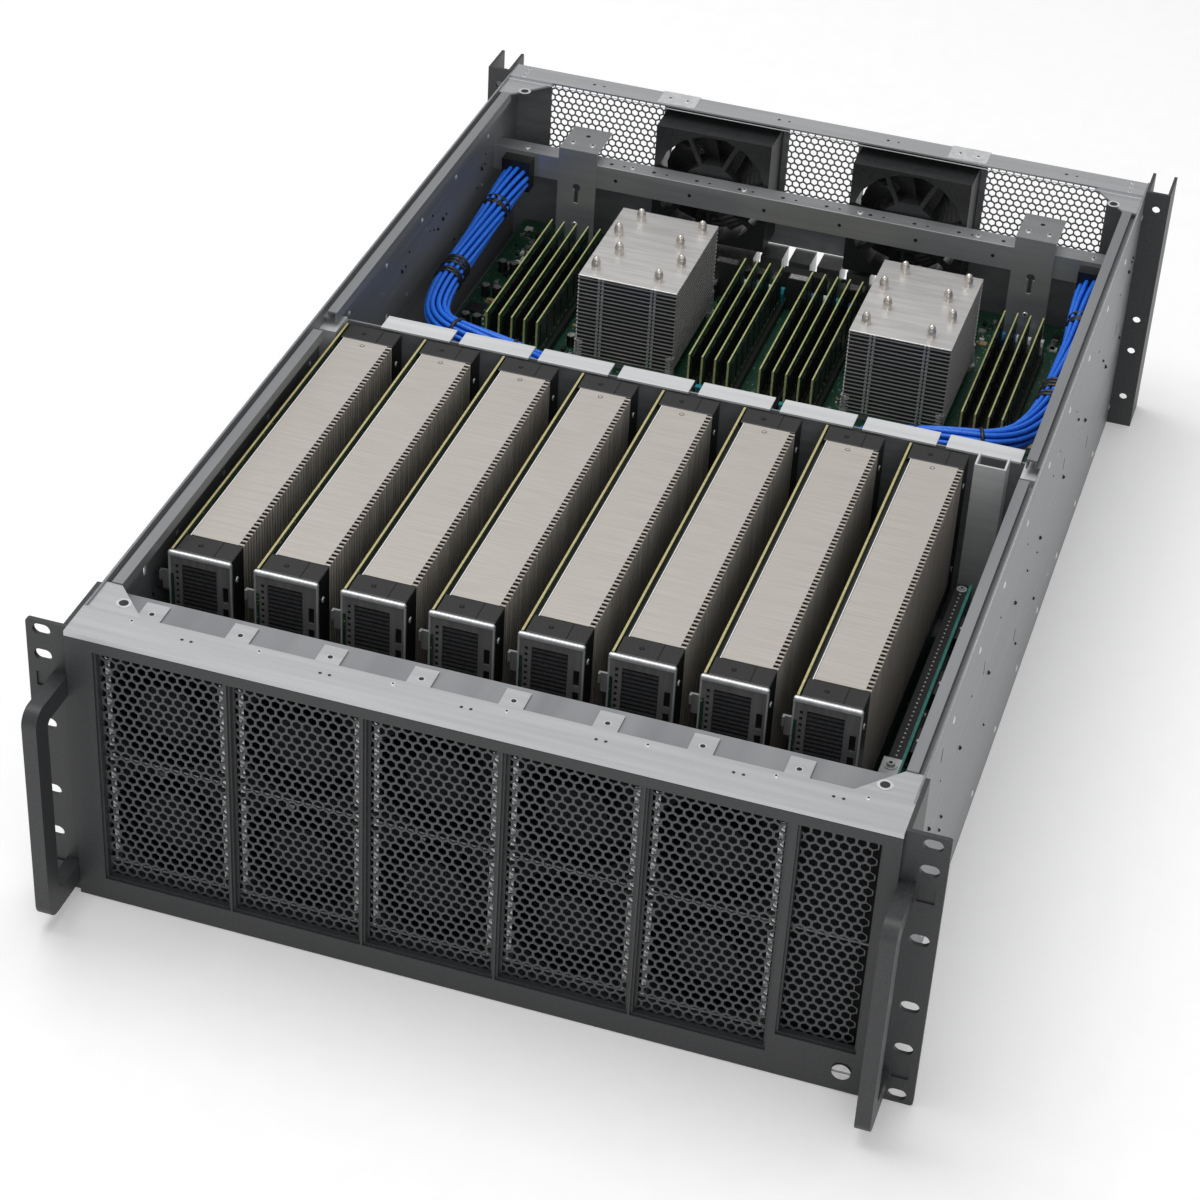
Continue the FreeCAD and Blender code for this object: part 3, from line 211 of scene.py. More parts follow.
# %% Metal finishes
zinc, bright, pale = [finish(*row) for row in (
    ("zinc_sheet", (0.22, 0.227, 0.238), (0.27, 0.277, 0.288), (0.4, 0.54), 0.35, 45, (1, 0.1, 4),
     0.12),
    ("bright_sheet", (0.5, 0.51, 0.525), (0.55, 0.56, 0.575), (0.34, 0.42), 0.75, 60, (0.15, 4, 4),
     0.06),
    ("pale_sheet", (0.66, 0.67, 0.68), (0.74, 0.75, 0.76), (0.34, 0.42), 0.4, 60, (0.15, 4, 4),
     0.06))]
black_coat, mesh_coat, lock_metal = [fine(*row) for row in (
    ("black_paint", (0.03, 0.031, 0.033), (0.042, 0.044, 0.046), (0.42, 0.52), 900, 0.25, 0.06),
    ("mesh_paint", (0.055, 0.058, 0.062), (0.085, 0.089, 0.094), (0.36, 0.46), 700, 0.2, 0.05,
     0.2),
    ("lock_steel", (0.55, 0.55, 0.55), (0.72, 0.72, 0.72), (0.2, 0.3), 300, 0.1, 0.05, 1))]
dress(zinc, "zinc_sheet", "side_wall_left", "side_wall_right", "chassis_floor", "mid_deck",
      "mid_partition", "fan_cage", "rear_wall")
dress(pale, "bright_sheet", "partition_plates")
dress(bright, "bright_sheet", "top_rails", "cross_beam", "beam_brackets", "card_clips")
dress(black_coat, "black_paint", "bezel_frame", "rack_ears", "rear_posts", "handle_left",
      "handle_right")
dress(mesh_coat, "mesh_paint", "bezel_mesh")
dress(lock_metal, "lock_steel", "bezel_lock")

# %% [markdown]
# ## Plastics
# Fans, caps, sockets and clips are glass-filled nylon: black to dark grey, faintly mottled, with a
# soft sheen. The front fans sit in shadow, so their frame and wheel plastic is made the darkest
# and dullest, as painted shade; the rear fans' plastic is lighter.

# %% Plastic finishes
# Painted shade: the front fans' frame and wheel plastic is darker than the rear fans' plastic.
(fan_plastic, rotor_plastic, cap_plastic, slot_plastic, latch_plastic,
 rear_fan_plastic) = [fine(*row) for row in (
    ("fan_plastic", (0.003, 0.003, 0.0035), (0.007, 0.007, 0.008), (0.6, 0.75), 500, 0.15, 0.04),
    ("rotor_plastic", (0.004, 0.004, 0.0045), (0.009, 0.009, 0.01), (0.45, 0.55), 500, 0.12, 0.04),
    ("cap_plastic", (0.006, 0.006, 0.006), (0.014, 0.014, 0.014), (0.34, 0.46), 800, 0.2, 0.04),
    ("slot_plastic", (0.012, 0.012, 0.013), (0.03, 0.03, 0.031), (0.4, 0.55), 900, 0.2, 0.04),
    ("latch_plastic", (0.42, 0.56, 0.62), (0.62, 0.72, 0.76), (0.35, 0.45), 300, 0.1, 0.04),
    ("rear_fan_plastic", (0.016, 0.017, 0.018), (0.026, 0.027, 0.028), (0.38, 0.48), 500, 0.12,
     0.04))]
dress(fan_plastic, "fan_plastic", "front_fan_frames")
dress(rear_fan_plastic, "fan_plastic", "rear_fan_frames")
dress(rotor_plastic, "rotor_plastic", *[name for name in nodes if "rotor" in name])
dress(cap_plastic, "cap_plastic", "card_end_caps")
dress(slot_plastic, "slot_plastic", "card_slots", "memory_sockets", "board_connectors")
dress(cap_plastic, "clip_plastic", "harness_clips")
dress(latch_plastic, "latch_plastic", "memory_latches_front", "memory_latches_rear")
# Painted shade: the front fans' plastic also loses most of its sheen.
for shaded_plastic in (fan_plastic, rotor_plastic):
    shade(shaded_plastic, Specular_IOR_Level=0.15)

# %% [markdown]
# The memory latches come in teal, blue and white. One material covers them all: the place along
# X, cut into steps as wide as a memory socket, picks the colour at random.

# %% Three colours of latches
here = add_node(latch_plastic, "ShaderNodeTexCoord").outputs["Object"]
split = add_node(latch_plastic, "ShaderNodeSeparateXYZ", Vector=here)
steps = add_math(latch_plastic, "SNAP", split.outputs["X"], 0.0086)
pick = add_node(latch_plastic, "ShaderNodeTexWhiteNoise")
pick.noise_dimensions = "1D"
feed(latch_plastic, pick, W=steps)
colour = two_tones(latch_plastic, pick.outputs["Value"], (0.01, 0.22, 0.26), (0.62, 0.66, 0.64))
colour.node.color_ramp.interpolation = "CONSTANT"
colour.node.color_ramp.elements.new(0.4).color = (0.01, 0.1, 0.4, 1)
shade(latch_plastic, Base_Color=colour)
print("latch colours", len(colour.node.color_ramp.elements))


# %% [markdown]
# ## Circuit boards
# A circuit board is green solder mask over copper tracks, with tinned pads. Fine banded waves in
# two directions make the tracks, and the small spots of a cell texture make the pads.


# %% A board with tracks and pads
def board_finish(name, low, high, pad):
    """Solder mask with faint tracks along both axes, and scattered metal pads."""
    material = finish(name, low, high, (0.28, 0.4), 0, 90)
    shader = material.node_tree.nodes["Principled BSDF"]
    colour = shader.inputs["Base Color"].links[0].from_socket
    here = add_node(material, "ShaderNodeTexCoord").outputs["Object"]
    for axis, scale in (("X", 170), ("Y", 130)):
        tracks = add_node(material, "ShaderNodeTexWave", Vector=here, Scale=scale, Distortion=3,
                          Detail=1)
        tracks.bands_direction = axis
        line = add_node(material, "ShaderNodeMapRange", Value=tracks.outputs["Fac"],
                        From_Min=0.75, From_Max=0.95, To_Max=0.35)
        mix = add_node(material, "ShaderNodeMixRGB", Fac=line.outputs["Result"], Color1=colour,
                       Color2=(*[2.2 * c for c in high], 1))
        colour = mix.outputs["Color"]
    cells = add_node(material, "ShaderNodeTexVoronoi", Vector=here, Scale=300)
    spot = add_node(material, "ShaderNodeMapRange", Value=cells.outputs["Distance"],
                    From_Min=0.16, From_Max=0.12)
    mix = add_node(material, "ShaderNodeMixRGB", Fac=spot.outputs["Result"], Color1=colour,
                   Color2=(*pad, 1))
    shade(material, Base_Color=mix.outputs["Color"])
    return material


board_green = board_finish("board_green", (0.006, 0.04, 0.022), (0.01, 0.062, 0.034),
                           (0.45, 0.42, 0.3))
card_green = board_finish("card_laminate", (0.01, 0.03, 0.018), (0.016, 0.044, 0.026),
                          (0.5, 0.4, 0.18))
memory_green = board_finish("memory_laminate", (0.008, 0.045, 0.022), (0.014, 0.07, 0.032),
                            (0.35, 0.33, 0.2))
dress(board_green, "board_green", "main_board", "card_board", "power_board")
dress(card_green, "card_laminate", "card_circuit_boards")
dress(memory_green, "memory_laminate", "memory_modules")

# %% [markdown]
# ## Heat sinks, ports and supplies
# The cards' sinks are a warm champagne grey, the coolers plain aluminium with nickel-plated pipe
# ends. Ports and supply shells are thin plated steel.

# %% Finishes of sinks, ports and supplies
champagne, fin_dark, aluminium, steel, supply_shell = [finish(*row) for row in (
    ("sink_aluminium", (0.49, 0.46, 0.42), (0.545, 0.515, 0.47), (0.42, 0.52), 0.45, 60,
     (0.5, 14, 1), 0.1),
    ("fin_edges", (0.4, 0.36, 0.32), (0.54, 0.5, 0.45), (0.4, 0.5), 0.3, 80, (1, 4, 0.2), 0.1),
    ("cooler_aluminium", (0.62, 0.61, 0.6), (0.74, 0.73, 0.72), (0.32, 0.44), 0.7, 80, (0.3, 4, 4),
     0.08),
    ("bracket_steel", (0.64, 0.65, 0.66), (0.76, 0.77, 0.78), (0.28, 0.38), 0.55, 60, (4, 4, 0.4),
     0.08),
    ("supply_shell", (0.42, 0.43, 0.44), (0.56, 0.57, 0.58), (0.32, 0.45), 1, 40, (6, 0.2, 6),
     0.1))]
nickel, port_shell = [fine(*row) for row in (
    ("pipe_nickel", (0.62, 0.58, 0.52), (0.74, 0.7, 0.64), (0.24, 0.32), 200, 0.05, 0.04, 0.7),
    ("port_steel", (0.34, 0.34, 0.34), (0.44, 0.44, 0.43), (0.3, 0.4), 200, 0.08, 0.04, 0.9))]
dress(champagne, "sink_aluminium", "card_heat_sinks")
dress(steel, "bracket_steel", "card_brackets")
dress(aluminium, "cooler_aluminium", "processor_coolers")
dress(nickel, "pipe_nickel", "heat_pipe_tips")
dress(port_shell, "port_steel", "rear_io_ports")
dress(supply_shell, "supply_shell", *[name for name in nodes if "power_supply" in name])
dress(black_coat, "clip_plastic", *[name for name in nodes if "supply_latch" in name])

# %% [markdown]
# ## Helpers for new pieces
# Most fine detail is thin boxes and short rods. These helpers add them to one mesh, so a whole
# set of chips or screws is one piece, and an Array modifier repeats a card's details.


# %% Boxes, rods and finished pieces
def paint(verts, material):
    """Give the faces at fresh corners the material of one number."""
    for face in {face for vert in verts for face in vert.link_faces}:
        face.material_index = material
    return verts


def add_box(mesh, x0, x1, d0, d1, z0, z1, material=0):
    """A straight box between two corners."""
    low = place(x0, d0, z0)
    high = place(x1, d1, z1)
    matrix = Matrix.LocRotScale((low + high) / 2, None, high - low)
    return paint(bmesh.ops.create_cube(mesh, size=1, matrix=matrix)["verts"], material)


def add_block(mesh, x, d, z, wide, deep, tall, material=0):
    """A box that stands on a height, given by its middle and its three sizes."""
    add_box(mesh, x - wide / 2, x + wide / 2, d - deep / 2, d + deep / 2, z, z + tall, material)


def add_rod(mesh, start, end, radius, sides=12, material=0, tip=1):
    """A round rod between two points in metres; tip is its end radius as a share."""
    axis = end - start
    turn = axis.to_track_quat("Z", "Y")
    matrix = Matrix.LocRotScale((start + end) / 2, turn, None)
    made = bmesh.ops.create_cone(mesh, cap_ends=True, segments=sides, radius1=radius * mm,
                                 radius2=radius * tip * mm, depth=axis.length, matrix=matrix)
    paint(made["verts"], material)


def add_post(mesh, x, d, z0, z1, radius, sides=12, material=0):
    """An upright rod between two heights."""
    add_rod(mesh, place(x, d, z0), place(x, d, z1), radius, sides, material)


def soften(mesh, verts, offset, segments=2):
    """Bevel every edge of a box by an offset in millimetres."""
    edges = list({edge for vert in verts for edge in vert.link_edges})
    bmesh.ops.bevel(mesh, geom=edges, affect="EDGES", offset=offset * mm, segments=segments,
                    profile=0.5, material=-1)


def add_screw(mesh, x, d, z, direction, radius=2.6, height=1.4, material=0, recess=1):
    """A screw head that stands on a surface, with a dark six-sided socket of painted shade on it.
    """
    base = place(x, d, z)
    way = Vector(direction)
    top = base + way * height * mm
    add_rod(mesh, base, top, radius, 12, material, 0.82)
    add_rod(mesh, top, top + way * 0.08 * mm, radius * 0.45, 6, recess)


def finish_piece(name, mesh, materials, body="root"):
    """Turn a mesh into an object that rides on a body."""
    data = bpy.data.meshes.new(name)
    bmesh.ops.recalc_face_normals(mesh, faces=mesh.faces)
    mesh.to_mesh(data)
    mesh.free()
    piece = new_object(name, data)
    for material in materials:
        data.materials.append(material)
    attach(piece, body)
    print(name, len(data.polygons), "faces")
    return piece


def repeat(piece, count, x=0, d=0, z=0):
    """Repeat a piece at an even pitch, in millimetres."""
    array = piece.modifiers.new("repeat", "ARRAY")
    array.count = count
    array.use_relative_offset = False
    array.use_constant_offset = True
    array.constant_offset_displace = Vector((x, d, z)) * mm


print("helpers for pieces ready")

# %% [markdown]
# ## Cable bundles
# Two blue power bundles run from clips on the beam, along the side walls and in to plugs on the
# main board. Each is one flexible length of 311 mm, about 17 mm thick. Its line is a spline whose
# control points are the corners of the route, so it rounds them as a real bundle does.


# %% The line of a bundle
def curve_mesh(curve):
    """The mesh that a curve draws."""
    holder = bpy.data.objects.new(curve.name, curve)
    data = bpy.data.meshes.new_from_object(holder)
    bpy.data.objects.remove(holder)
    return data


def bundle_line(side):
    """The route's spline, for the left (-1) or right (1) wall, and points read from it."""
    corners = [
        (198, 641, 120), (198, 618.1, 120), (200, 590, 113), (199, 545.5, 112),
        (197, 490.1, 113), (184, 448.1, 116), (146, 437, 117), (112, 440, 108),
        (87, 450, 95), (87, 450, 79),
    ]
    curve = bpy.data.curves.new("bundle_line", "CURVE")
    curve.dimensions = "3D"
    curve.resolution_u = 12
    spline = curve.splines.new("NURBS")
    spline.points.add(len(corners) - 1)
    for point, (x, d, z) in zip(spline.points, corners):
        point.co = (*place(side * x, d, z), 1)
    spline.order_u = 3
    spline.use_endpoint_u = True
    read = curve_mesh(curve)
    points = [vertex.co.copy() for vertex in read.vertices]
    bpy.data.meshes.remove(read)
    return points


lines = {side: bundle_line(side) for side in (-1, 1)}
length = sum((b - a).length for a, b in zip(lines[1], lines[1][1:]))
print("bundle length", round(length, 4), "from", len(lines[1]), "points")

# %% [markdown]
# ## Wires and ties
# Seventeen wires follow the line with a slow twist: one in the middle and two rings round it. They
# are splines of one curve with a small round section, turned into one mesh. Each tie is a black
# ring round the same line.


# %% Wires and ties along a line
def steady_frames(points):
    """Directions across the line that turn with it and never flip over."""
    frames = []
    across = (points[1] - points[0]).cross(Vector((0, 0, 1)))
    for before, after in zip([points[0]] + points[:-1], points[1:] + [points[-1]]):
        along = (after - before).normalized()
        across = (across - along * across.dot(along)).normalized()
        frames.append((across, along.cross(across)))
    return frames


def tube_mesh(name, paths, radius):
    """One mesh of round tubes along several paths."""
    curve = bpy.data.curves.new(name, "CURVE")
    curve.dimensions = "3D"
    curve.bevel_depth = radius * mm
    curve.bevel_resolution = 1
    curve.use_fill_caps = True
    for path in paths:
        spline = curve.splines.new("POLY")
        spline.points.add(len(path) - 1)
        for point, co in zip(spline.points, path):
            point.co = (*co, 1)
    data = curve_mesh(curve)
    data.name = name
    return data


def wire_paths(points, rings, twist):
    """Paths of wires in rings round a line, which turn slowly and fan out at its first end."""
    frames = steady_frames(points)
    paths = []
    for radius, count, start in rings:
        for k in range(count):
            path = []
            for step, (point, (u, v)) in enumerate(zip(points, frames)):
                angle = start + 2 * math.pi * k / count + twist * step / len(points)
                spread = 1 + 0.25 * max(0, 1 - 4.5 * step / len(points))
                offset = (u * math.cos(angle) + v * math.sin(angle)) * radius * spread
                path.append(point + offset * mm)
            paths.append(path)
    return paths


print("wire helpers ready")

# %% [markdown]
# ## The two bundles
# The bundle stands for the CAD model's plain tube, which is hidden.

# %% Bundles with their ties
blue, tie_black = [fine(*row) for row in (
    ("bundle_blue", (0.012, 0.13, 0.7), (0.022, 0.2, 0.88), (0.32, 0.42), 700, 0.08),
    ("tie_black", (0.006, 0.006, 0.006), (0.016, 0.016, 0.016), (0.3, 0.4), 1500, 0.3, 0.05))]
wire_rings = ((0, 1, 0), (3.4, 5, 0.3), (6.9, 11, 0))
tie_radius = 8.3
tie_shares = (0.12, 0.131, 0.142, 0.36, 0.371, 0.382, 0.393, 0.404, 0.62, 0.75)
for side, word in ((-1, "left"), (1, "right")):
    points = lines[side]
    data = tube_mesh("wires_" + word, wire_paths(points, wire_rings, 3.4), 1.6)
    data.materials.append(blue)
    wires = new_object("wires_" + word, data)
    for face in data.polygons:
        face.use_smooth = True
    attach(wires, "root")
    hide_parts("harness_" + word)
    bands = []
    frames = steady_frames(points)
    for share in tie_shares:
        k = int(share * (len(points) - 1))
        u, v = frames[k]
        bands.append([points[k] + (u * math.cos(a) + v * math.sin(a)) * tie_radius * mm
                      for a in [math.pi * step / 8 for step in range(17)]])
    tie_data = tube_mesh("ties_" + word, bands, 1.3)
    tie_data.materials.append(tie_black)
    ties = new_object("ties_" + word, tie_data)
    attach(ties, "root")
    print(wires.name, len(data.polygons), "faces,", len(bands), "ties")

# %% [markdown]
# ## The honeycomb of the bezel
# Behind the front frame lies a sheet of fine honeycomb. Two six-sided faces are inset and opened,
# their inner edges are pulled back to show the sheet's thickness, and two Array modifiers repeat
# the pair along the width and the height.


# %% A field of honeycomb cells
upright = Matrix.Rotation(math.radians(90), 4, "X")


def push_back(mesh, pulled, depth):
    """Move the corners of a fresh extrusion to the rear by a depth."""
    back = [part for part in pulled if isinstance(part, bmesh.types.BMVert)]
    bmesh.ops.translate(mesh, verts=back, vec=(0, depth * mm, 0))


def honeycomb(name, material, x0, x1, d, z0, z1, pitch, web, thickness=0.8):
    """Cells whose middles fill a window, as one pair of cells with two arrays."""
    corner = pitch / math.sqrt(3)
    mesh = bmesh.new()
    for x, z in ((x0, z0), (x0 + pitch / 2, z0 + 1.5 * corner)):
        bmesh.ops.create_circle(mesh, cap_ends=True, segments=6, radius=corner * mm,
                                matrix=Matrix.Translation(place(x, d, z)) @ upright)
    cells = list(mesh.faces)
    bmesh.ops.inset_individual(mesh, faces=cells, thickness=web / 2 * mm)
    rims = [edge for cell in cells for edge in cell.edges]
    bmesh.ops.delete(mesh, geom=cells, context="FACES_ONLY")
    push_back(mesh, bmesh.ops.extrude_edge_only(mesh, edges=rims)["geom"], thickness)
    field = finish_piece(name, mesh, [material])
    repeat(field, math.ceil((x1 - x0) / pitch), x=pitch)
    repeat(field, math.ceil((z1 - z0) / (3 * corner)), z=3 * corner)
    return field


cell_pitch = 5.65
cell_web = 1.5
wide_mesh = honeycomb("bezel_cells", mesh_coat, -204, 162.5, 5.1, 15, 164, cell_pitch, cell_web)
honeycomb("bezel_cells_side", mesh_coat, 167.2, 206, 5.1, 28, 164, cell_pitch, cell_web)
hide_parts("bezel_mesh")

# %% [markdown]
# ## A sheet with openings
# Brackets and the rear wall are punched sheets. The rims of the sheet and of its openings are
# loops of edges, of four corners for a rectangle and of many for a circle. A fill between the
# loops leaves the openings free, and an extrusion gives the sheet its thickness.


# %% Punched sheets
def add_sheet(mesh, d0, d1, outer, openings):
    """A sheet across X and Z. Loops are (middle x, middle z, width, height, corners)."""
    edges = []
    for x, z, width, height, corners in [outer] + openings:
        reach = math.sqrt(0.5) if corners == 4 else 0.5
        turn = Matrix.Rotation(math.pi / corners, 4, "Z")
        size = Matrix.Diagonal((width * mm, height * mm, 1, 1))
        matrix = Matrix.Translation(place(x, d0, z)) @ upright @ size @ turn
        loop = bmesh.ops.create_circle(mesh, segments=corners, radius=reach, matrix=matrix)
        edges += list({edge for vert in loop["verts"] for edge in vert.link_edges})
    filled = bmesh.ops.triangle_fill(mesh, use_beauty=True, edges=edges)["geom"]
    faces = [part for part in filled if isinstance(part, bmesh.types.BMFace)]
    push_back(mesh, bmesh.ops.extrude_face_region(mesh, geom=faces)["geom"], d1 - d0)


def between(x0, x1, z0, z1, corners=4):
    """A loop given by its two corners."""
    return ((x0 + x1) / 2, (z0 + z1) / 2, x1 - x0, z1 - z0, corners)


print("punched sheets ready")

# %% [markdown]
# ## The rear wall
# The rear sheet has bays for four supplies, a window for the ports, two round fan openings and
# three fields of fine honeycomb, which are separate meshes within the sheet's thickness. It takes
# the place of the drawing's sheet, whose vents are few and large.

# %% Rear wall with its vents
supply_middles = (-123, -41, 41, 123)
fan_middles = (-68, 68)
vents = [(-193, -112), (-24, 24), (112, 193)]
holes = [between(x - 37.6, x + 37.6, 2, 42.4) for x in supply_middles]
holes.append(between(-105, 67, 60.4, 78))
holes += [(x, 127, 76, 76, 40) for x in fan_middles]
holes += [between(x0, x1, 104, 166) for x0, x1 in vents]
mesh = bmesh.new()
add_sheet(mesh, 698.8, 700, between(-217.3, 217.3, 1.2, 174.8), holes)
wall = finish_piece("rear_sheet", mesh, [zinc])
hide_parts("rear_wall")
for k, (x0, x1) in enumerate(vents):
    honeycomb(f"vent_cells_{k + 1}", zinc, x0, x1 + 2.5, 699, 104, 166, 5, 1.1)

# %% [markdown]
# ## Accelerator cards: heat sinks
# Each card carries a passive sink of thin upright fins, a smooth dark skirt below them and a
# champagne-coloured cover. The faces of the fins, a black block between them and a black slab
# beside the board are painted shade; only the fins' outer edges keep a light tone. One fin is
# made;
# the first array repeats it along the card, the second along the row of eight cards.

# %% Fins, skirts and covers
card_x = -205.2
card_pitch = 49.3
card_count = 8
# The black skirt finish also serves as painted shade: a block inside the sink between the fins, a
# slab beside the board and strips behind the louvres.
skirt_black, cream, white_film, fin_shade = [fine(*row) for row in (
    ("skirt_black", (0.01, 0.009, 0.009), (0.022, 0.02, 0.019), (0.25, 0.35), 400, 0.08),
    ("board_edge", (0.4, 0.34, 0.13), (0.54, 0.47, 0.22), (0.5, 0.6), 600),
    ("white_film", (0.7, 0.71, 0.7), (0.8, 0.8, 0.79), (0.4, 0.5), 400, 0.05),
    ("fin_shade", (0.028, 0.024, 0.021), (0.055, 0.048, 0.042), (0.5, 0.6), 500, 0.1, 0.03, 0.2))]


def card_boxes(mesh, rows):
    """Boxes on the first card: x from the card's left side, d, z and the material."""
    for x0, x1, *rest in rows:
        add_box(mesh, card_x + x0, card_x + x1, *rest)


# Painted shade: the face of each fin is a near-black copy of its metal; only its outer edge and
# the outer end of its top keep a light tone.
mesh = bmesh.new()
card_boxes(mesh, (
    (5.6, 34.4, 116.5, 117.9, 84, 164.5, 1), (34.4, 35.2, 116.5, 117.9, 84, 164.9, 0),
    (31.4, 34.4, 116.5, 117.9, 164.5, 164.9, 0)))
fins = finish_piece("card_fins", mesh, [fin_dark, fin_shade])
repeat(fins, 60, d=3.68)
repeat(fins, card_count, x=card_pitch)
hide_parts("card_heat_sinks")
mesh = bmesh.new()
# Painted shade: the black block between the fins and the black slab beside the board; the skirt
# below the fins is black too.
card_boxes(mesh, (
    (8, 30.6, 116.2, 335.8, 84, 164, 0), (5.2, 35, 116.2, 335.8, 71.9, 84, 0),
    (5.2, 32, 116.1, 335.9, 164.7, 165, 1), (1.6, 4.2, 101, 351, 80, 162, 0),
    (4.3, 4.9, 101, 351, 110, 164.8, 3), (0.2, 1.4, 100.2, 351.8, 165.05, 165.15, 2)))
add_post(mesh, card_x + 18, 331, 165, 165.06, 1.5, 14)
add_post(mesh, card_x + 18, 331, 165.06, 165.1, 1.1, 14, 1)
bodies_and_shade = finish_piece("card_bodies_and_shade", mesh, [skirt_black, champagne, cream, white_film])
repeat(bodies_and_shade, card_count, x=card_pitch)

# %% [markdown]
# ## Accelerator cards: end caps and brackets
# Moulded black caps of two parts close both ends of a sink. At the front end stands a punched
# steel bracket with a rolled top edge, a column of small holes, thirty-two black louvres and a
# column of slots. Thin slats leave gaps, and a black strip of painted shade behind each slat
# stands for the dark inside.

# %% Caps and brackets
mesh = bmesh.new()
for d0 in (100.1, 336.1):
    for z0, z1 in ((71.9, 117), (117.5, 165.05)):
        soften(mesh, add_box(mesh, card_x + 2.2, card_x + 35.2, d0, d0 + 15.8, z0, z1), 0.7)
    add_screw(mesh, card_x + 14, d0 + 8, 165, (0, 0, 1), 1.6, 0.2, 2, 0)
    add_box(mesh, card_x + 24, card_x + 24.5, d0 + 0.6, d0 + 15.2, 165, 165.12, 2)
    for z in (150, 92):
        add_screw(mesh, card_x + 35.1, d0 + 6, z, (1, 0, 0), 1.8, 0.6, 1, 0)
caps = finish_piece("card_caps", mesh, [cap_plastic, steel, rotor_plastic])
repeat(caps, card_count, x=card_pitch)
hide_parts("card_end_caps")
left = card_x - 0.8
right = card_x + 35.6
holes = [between(left + 3.6, left + 5.4, z, z + 2.4) for z in range(70, 156, 4)]
holes += [between(right - 5.8, right - 2.4, z, z + 10) for z in range(68, 150, 14)]
holes.append(between(left + 7.4, right - 9, 68, 157))
mesh = bmesh.new()
add_sheet(mesh, 98.8, 99.9, between(left, right, 60, 163.6), holes)
for x in (left, right - 0.9):
    add_box(mesh, x, x + 0.9, 98, 98.8, 60, 162.2, 1)
soften(mesh, add_box(mesh, left, right, 96.9, 99.9, 162.2, 165.4, 1), 1.2, 3)
add_box(mesh, left - 3.4, left, 97.4, 98.8, 140, 152)
add_box(mesh, left - 4.6, left - 3.4, 96, 98.8, 146, 152)
bracket_face = finish("bracket_face", (0.24, 0.24, 0.245), (0.31, 0.31, 0.315), (0.34, 0.44), 0.5,
                      60, (5, 5, 0.3), 0.08)
brackets = finish_piece("card_front_brackets", mesh, [bracket_face, steel])
repeat(brackets, card_count, x=card_pitch)
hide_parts("card_brackets")
mesh = bmesh.new()
add_box(mesh, left + 7.4, right - 9, 98.9, 99.7, 69, 70.2)
# Painted shade: a black strip behind each slat.
add_box(mesh, left + 7.4, right - 9, 99.95, 100.05, 69, 71.7, 1)
louvres = finish_piece("bracket_louvres_and_shade", mesh, [mesh_coat, skirt_black])
repeat(louvres, 32, z=2.75)
repeat(louvres, card_count, x=card_pitch)
mesh = bmesh.new()
add_box(mesh, card_x, card_x + 1.7, 98.6, 100, 56, 59.6)
add_box(mesh, card_x - 0.7, card_x + 1.9, 98.4, 98.7, 104, 150, 1)
edges = finish_piece("card_board_ends", mesh, [cream, card_green])
repeat(edges, card_count, x=card_pitch)

# %% [markdown]
# ## Processor coolers
# A server cooler is a stack of thin aluminium fins pushed over heat pipes, under a smooth top
# plate. Small folded tabs join the fins at the front and the rear, and a sprung screw stands at
# each foot.

# %% Fin stacks, top plates and feet
cooler_middles = (-80.106, 98.592)
cooler_d = 567
board_top = 63
fin_count = 21
# Painted shade: a near-black finish for the dark inside the coolers' fin stacks, holes and screw
# sockets.
painted_gap_shade = fine("painted_gap_shade", (0.012, 0.012, 0.012), (0.03, 0.029, 0.028), (0.5, 0.6), 300,
                metallic=0.3)
fin_mesh = bmesh.new()
fold_mesh = bmesh.new()
block_mesh = bmesh.new()
for x in cooler_middles:
    add_block(fin_mesh, x, cooler_d, 71.4, 66, 96, 0.5)
    for shift in (-18.75, -16.25, 16.25, 18.75):
        for d in (518.9, 615.1):
            add_block(fold_mesh, x + shift, d, 71.4, 1.5, 0.4, 2.2)
    # A near-black block of painted shade fills the fin stack, for the dark between the fins.
    add_block(block_mesh, x, cooler_d, 70.2, 64.6, 94.6, 58.2, 1)
    add_block(block_mesh, x, cooler_d, board_top, 58, 84, 7.2)
    soften(block_mesh, add_box(block_mesh, x - 33, x + 33, 519, 615, 128.9, 129.9), 0.4)
    for foot in (x - 31, x + 31):
        for d in (521, 613):
            for z0, z1, radius, sides in ((board_top, 82, 1.5, 10), (board_top, 66, 4.2, 12),
                                          (79, 81.5, 3.2, 6)):
                add_post(block_mesh, foot, d, z0, z1, radius, sides)
            for turn in range(5):
                add_post(block_mesh, foot, d, 68 + 2.2 * turn, 69 + 2.2 * turn, 3)
cooler_fins = finish_piece("cooler_fins", fin_mesh, [aluminium])
repeat(cooler_fins, fin_count, z=2.8)
folds = finish_piece("cooler_folds", fold_mesh, [aluminium])
repeat(folds, fin_count, z=2.8)
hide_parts("processor_coolers")
finish_piece("cooler_blocks_and_shade", block_mesh, [aluminium, painted_gap_shade])

# %% [markdown]
# ## Heat-pipe ends
# The closed end of a heat pipe is drawn down to a small nipple and plated. It is a round shape,
# so a spin of its half outline about the pipe's axis makes it.

# %% Lathed tips
mesh = bmesh.new()
half_outline = ((3, 129.9), (3, 134.6), (2.5, 135.2), (2.5, 136.2), (1.5, 137.8), (0.01, 138.5))
for x in cooler_middles:
    for side in (-1, 1):
        for k in range(4):
            d = 519 + 24 * (k + 0.5)
            middle = x + side * 21 + (4 if k % 2 else -4)
            corners = [mesh.verts.new(place(middle + r, d, z)) for r, z in half_outline]
            outline = [mesh.edges.new(pair) for pair in zip(corners, corners[1:])]
            bmesh.ops.spin(mesh, geom=corners + outline, cent=place(middle, d, 0), axis=(0, 0, 1),
                           angle=2 * math.pi, steps=14, use_merge=True)
tips = finish_piece("pipe_tips", mesh, [nickel])
for face in tips.data.polygons:
    face.use_smooth = True
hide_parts("heat_pipe_tips")

# %% [markdown]
# ## Memory modules
# A memory module is a thin green board with black chips on both sides and pale laminate at its
# cut edges. The modules stand in four banks; loops put them all in a single mesh.

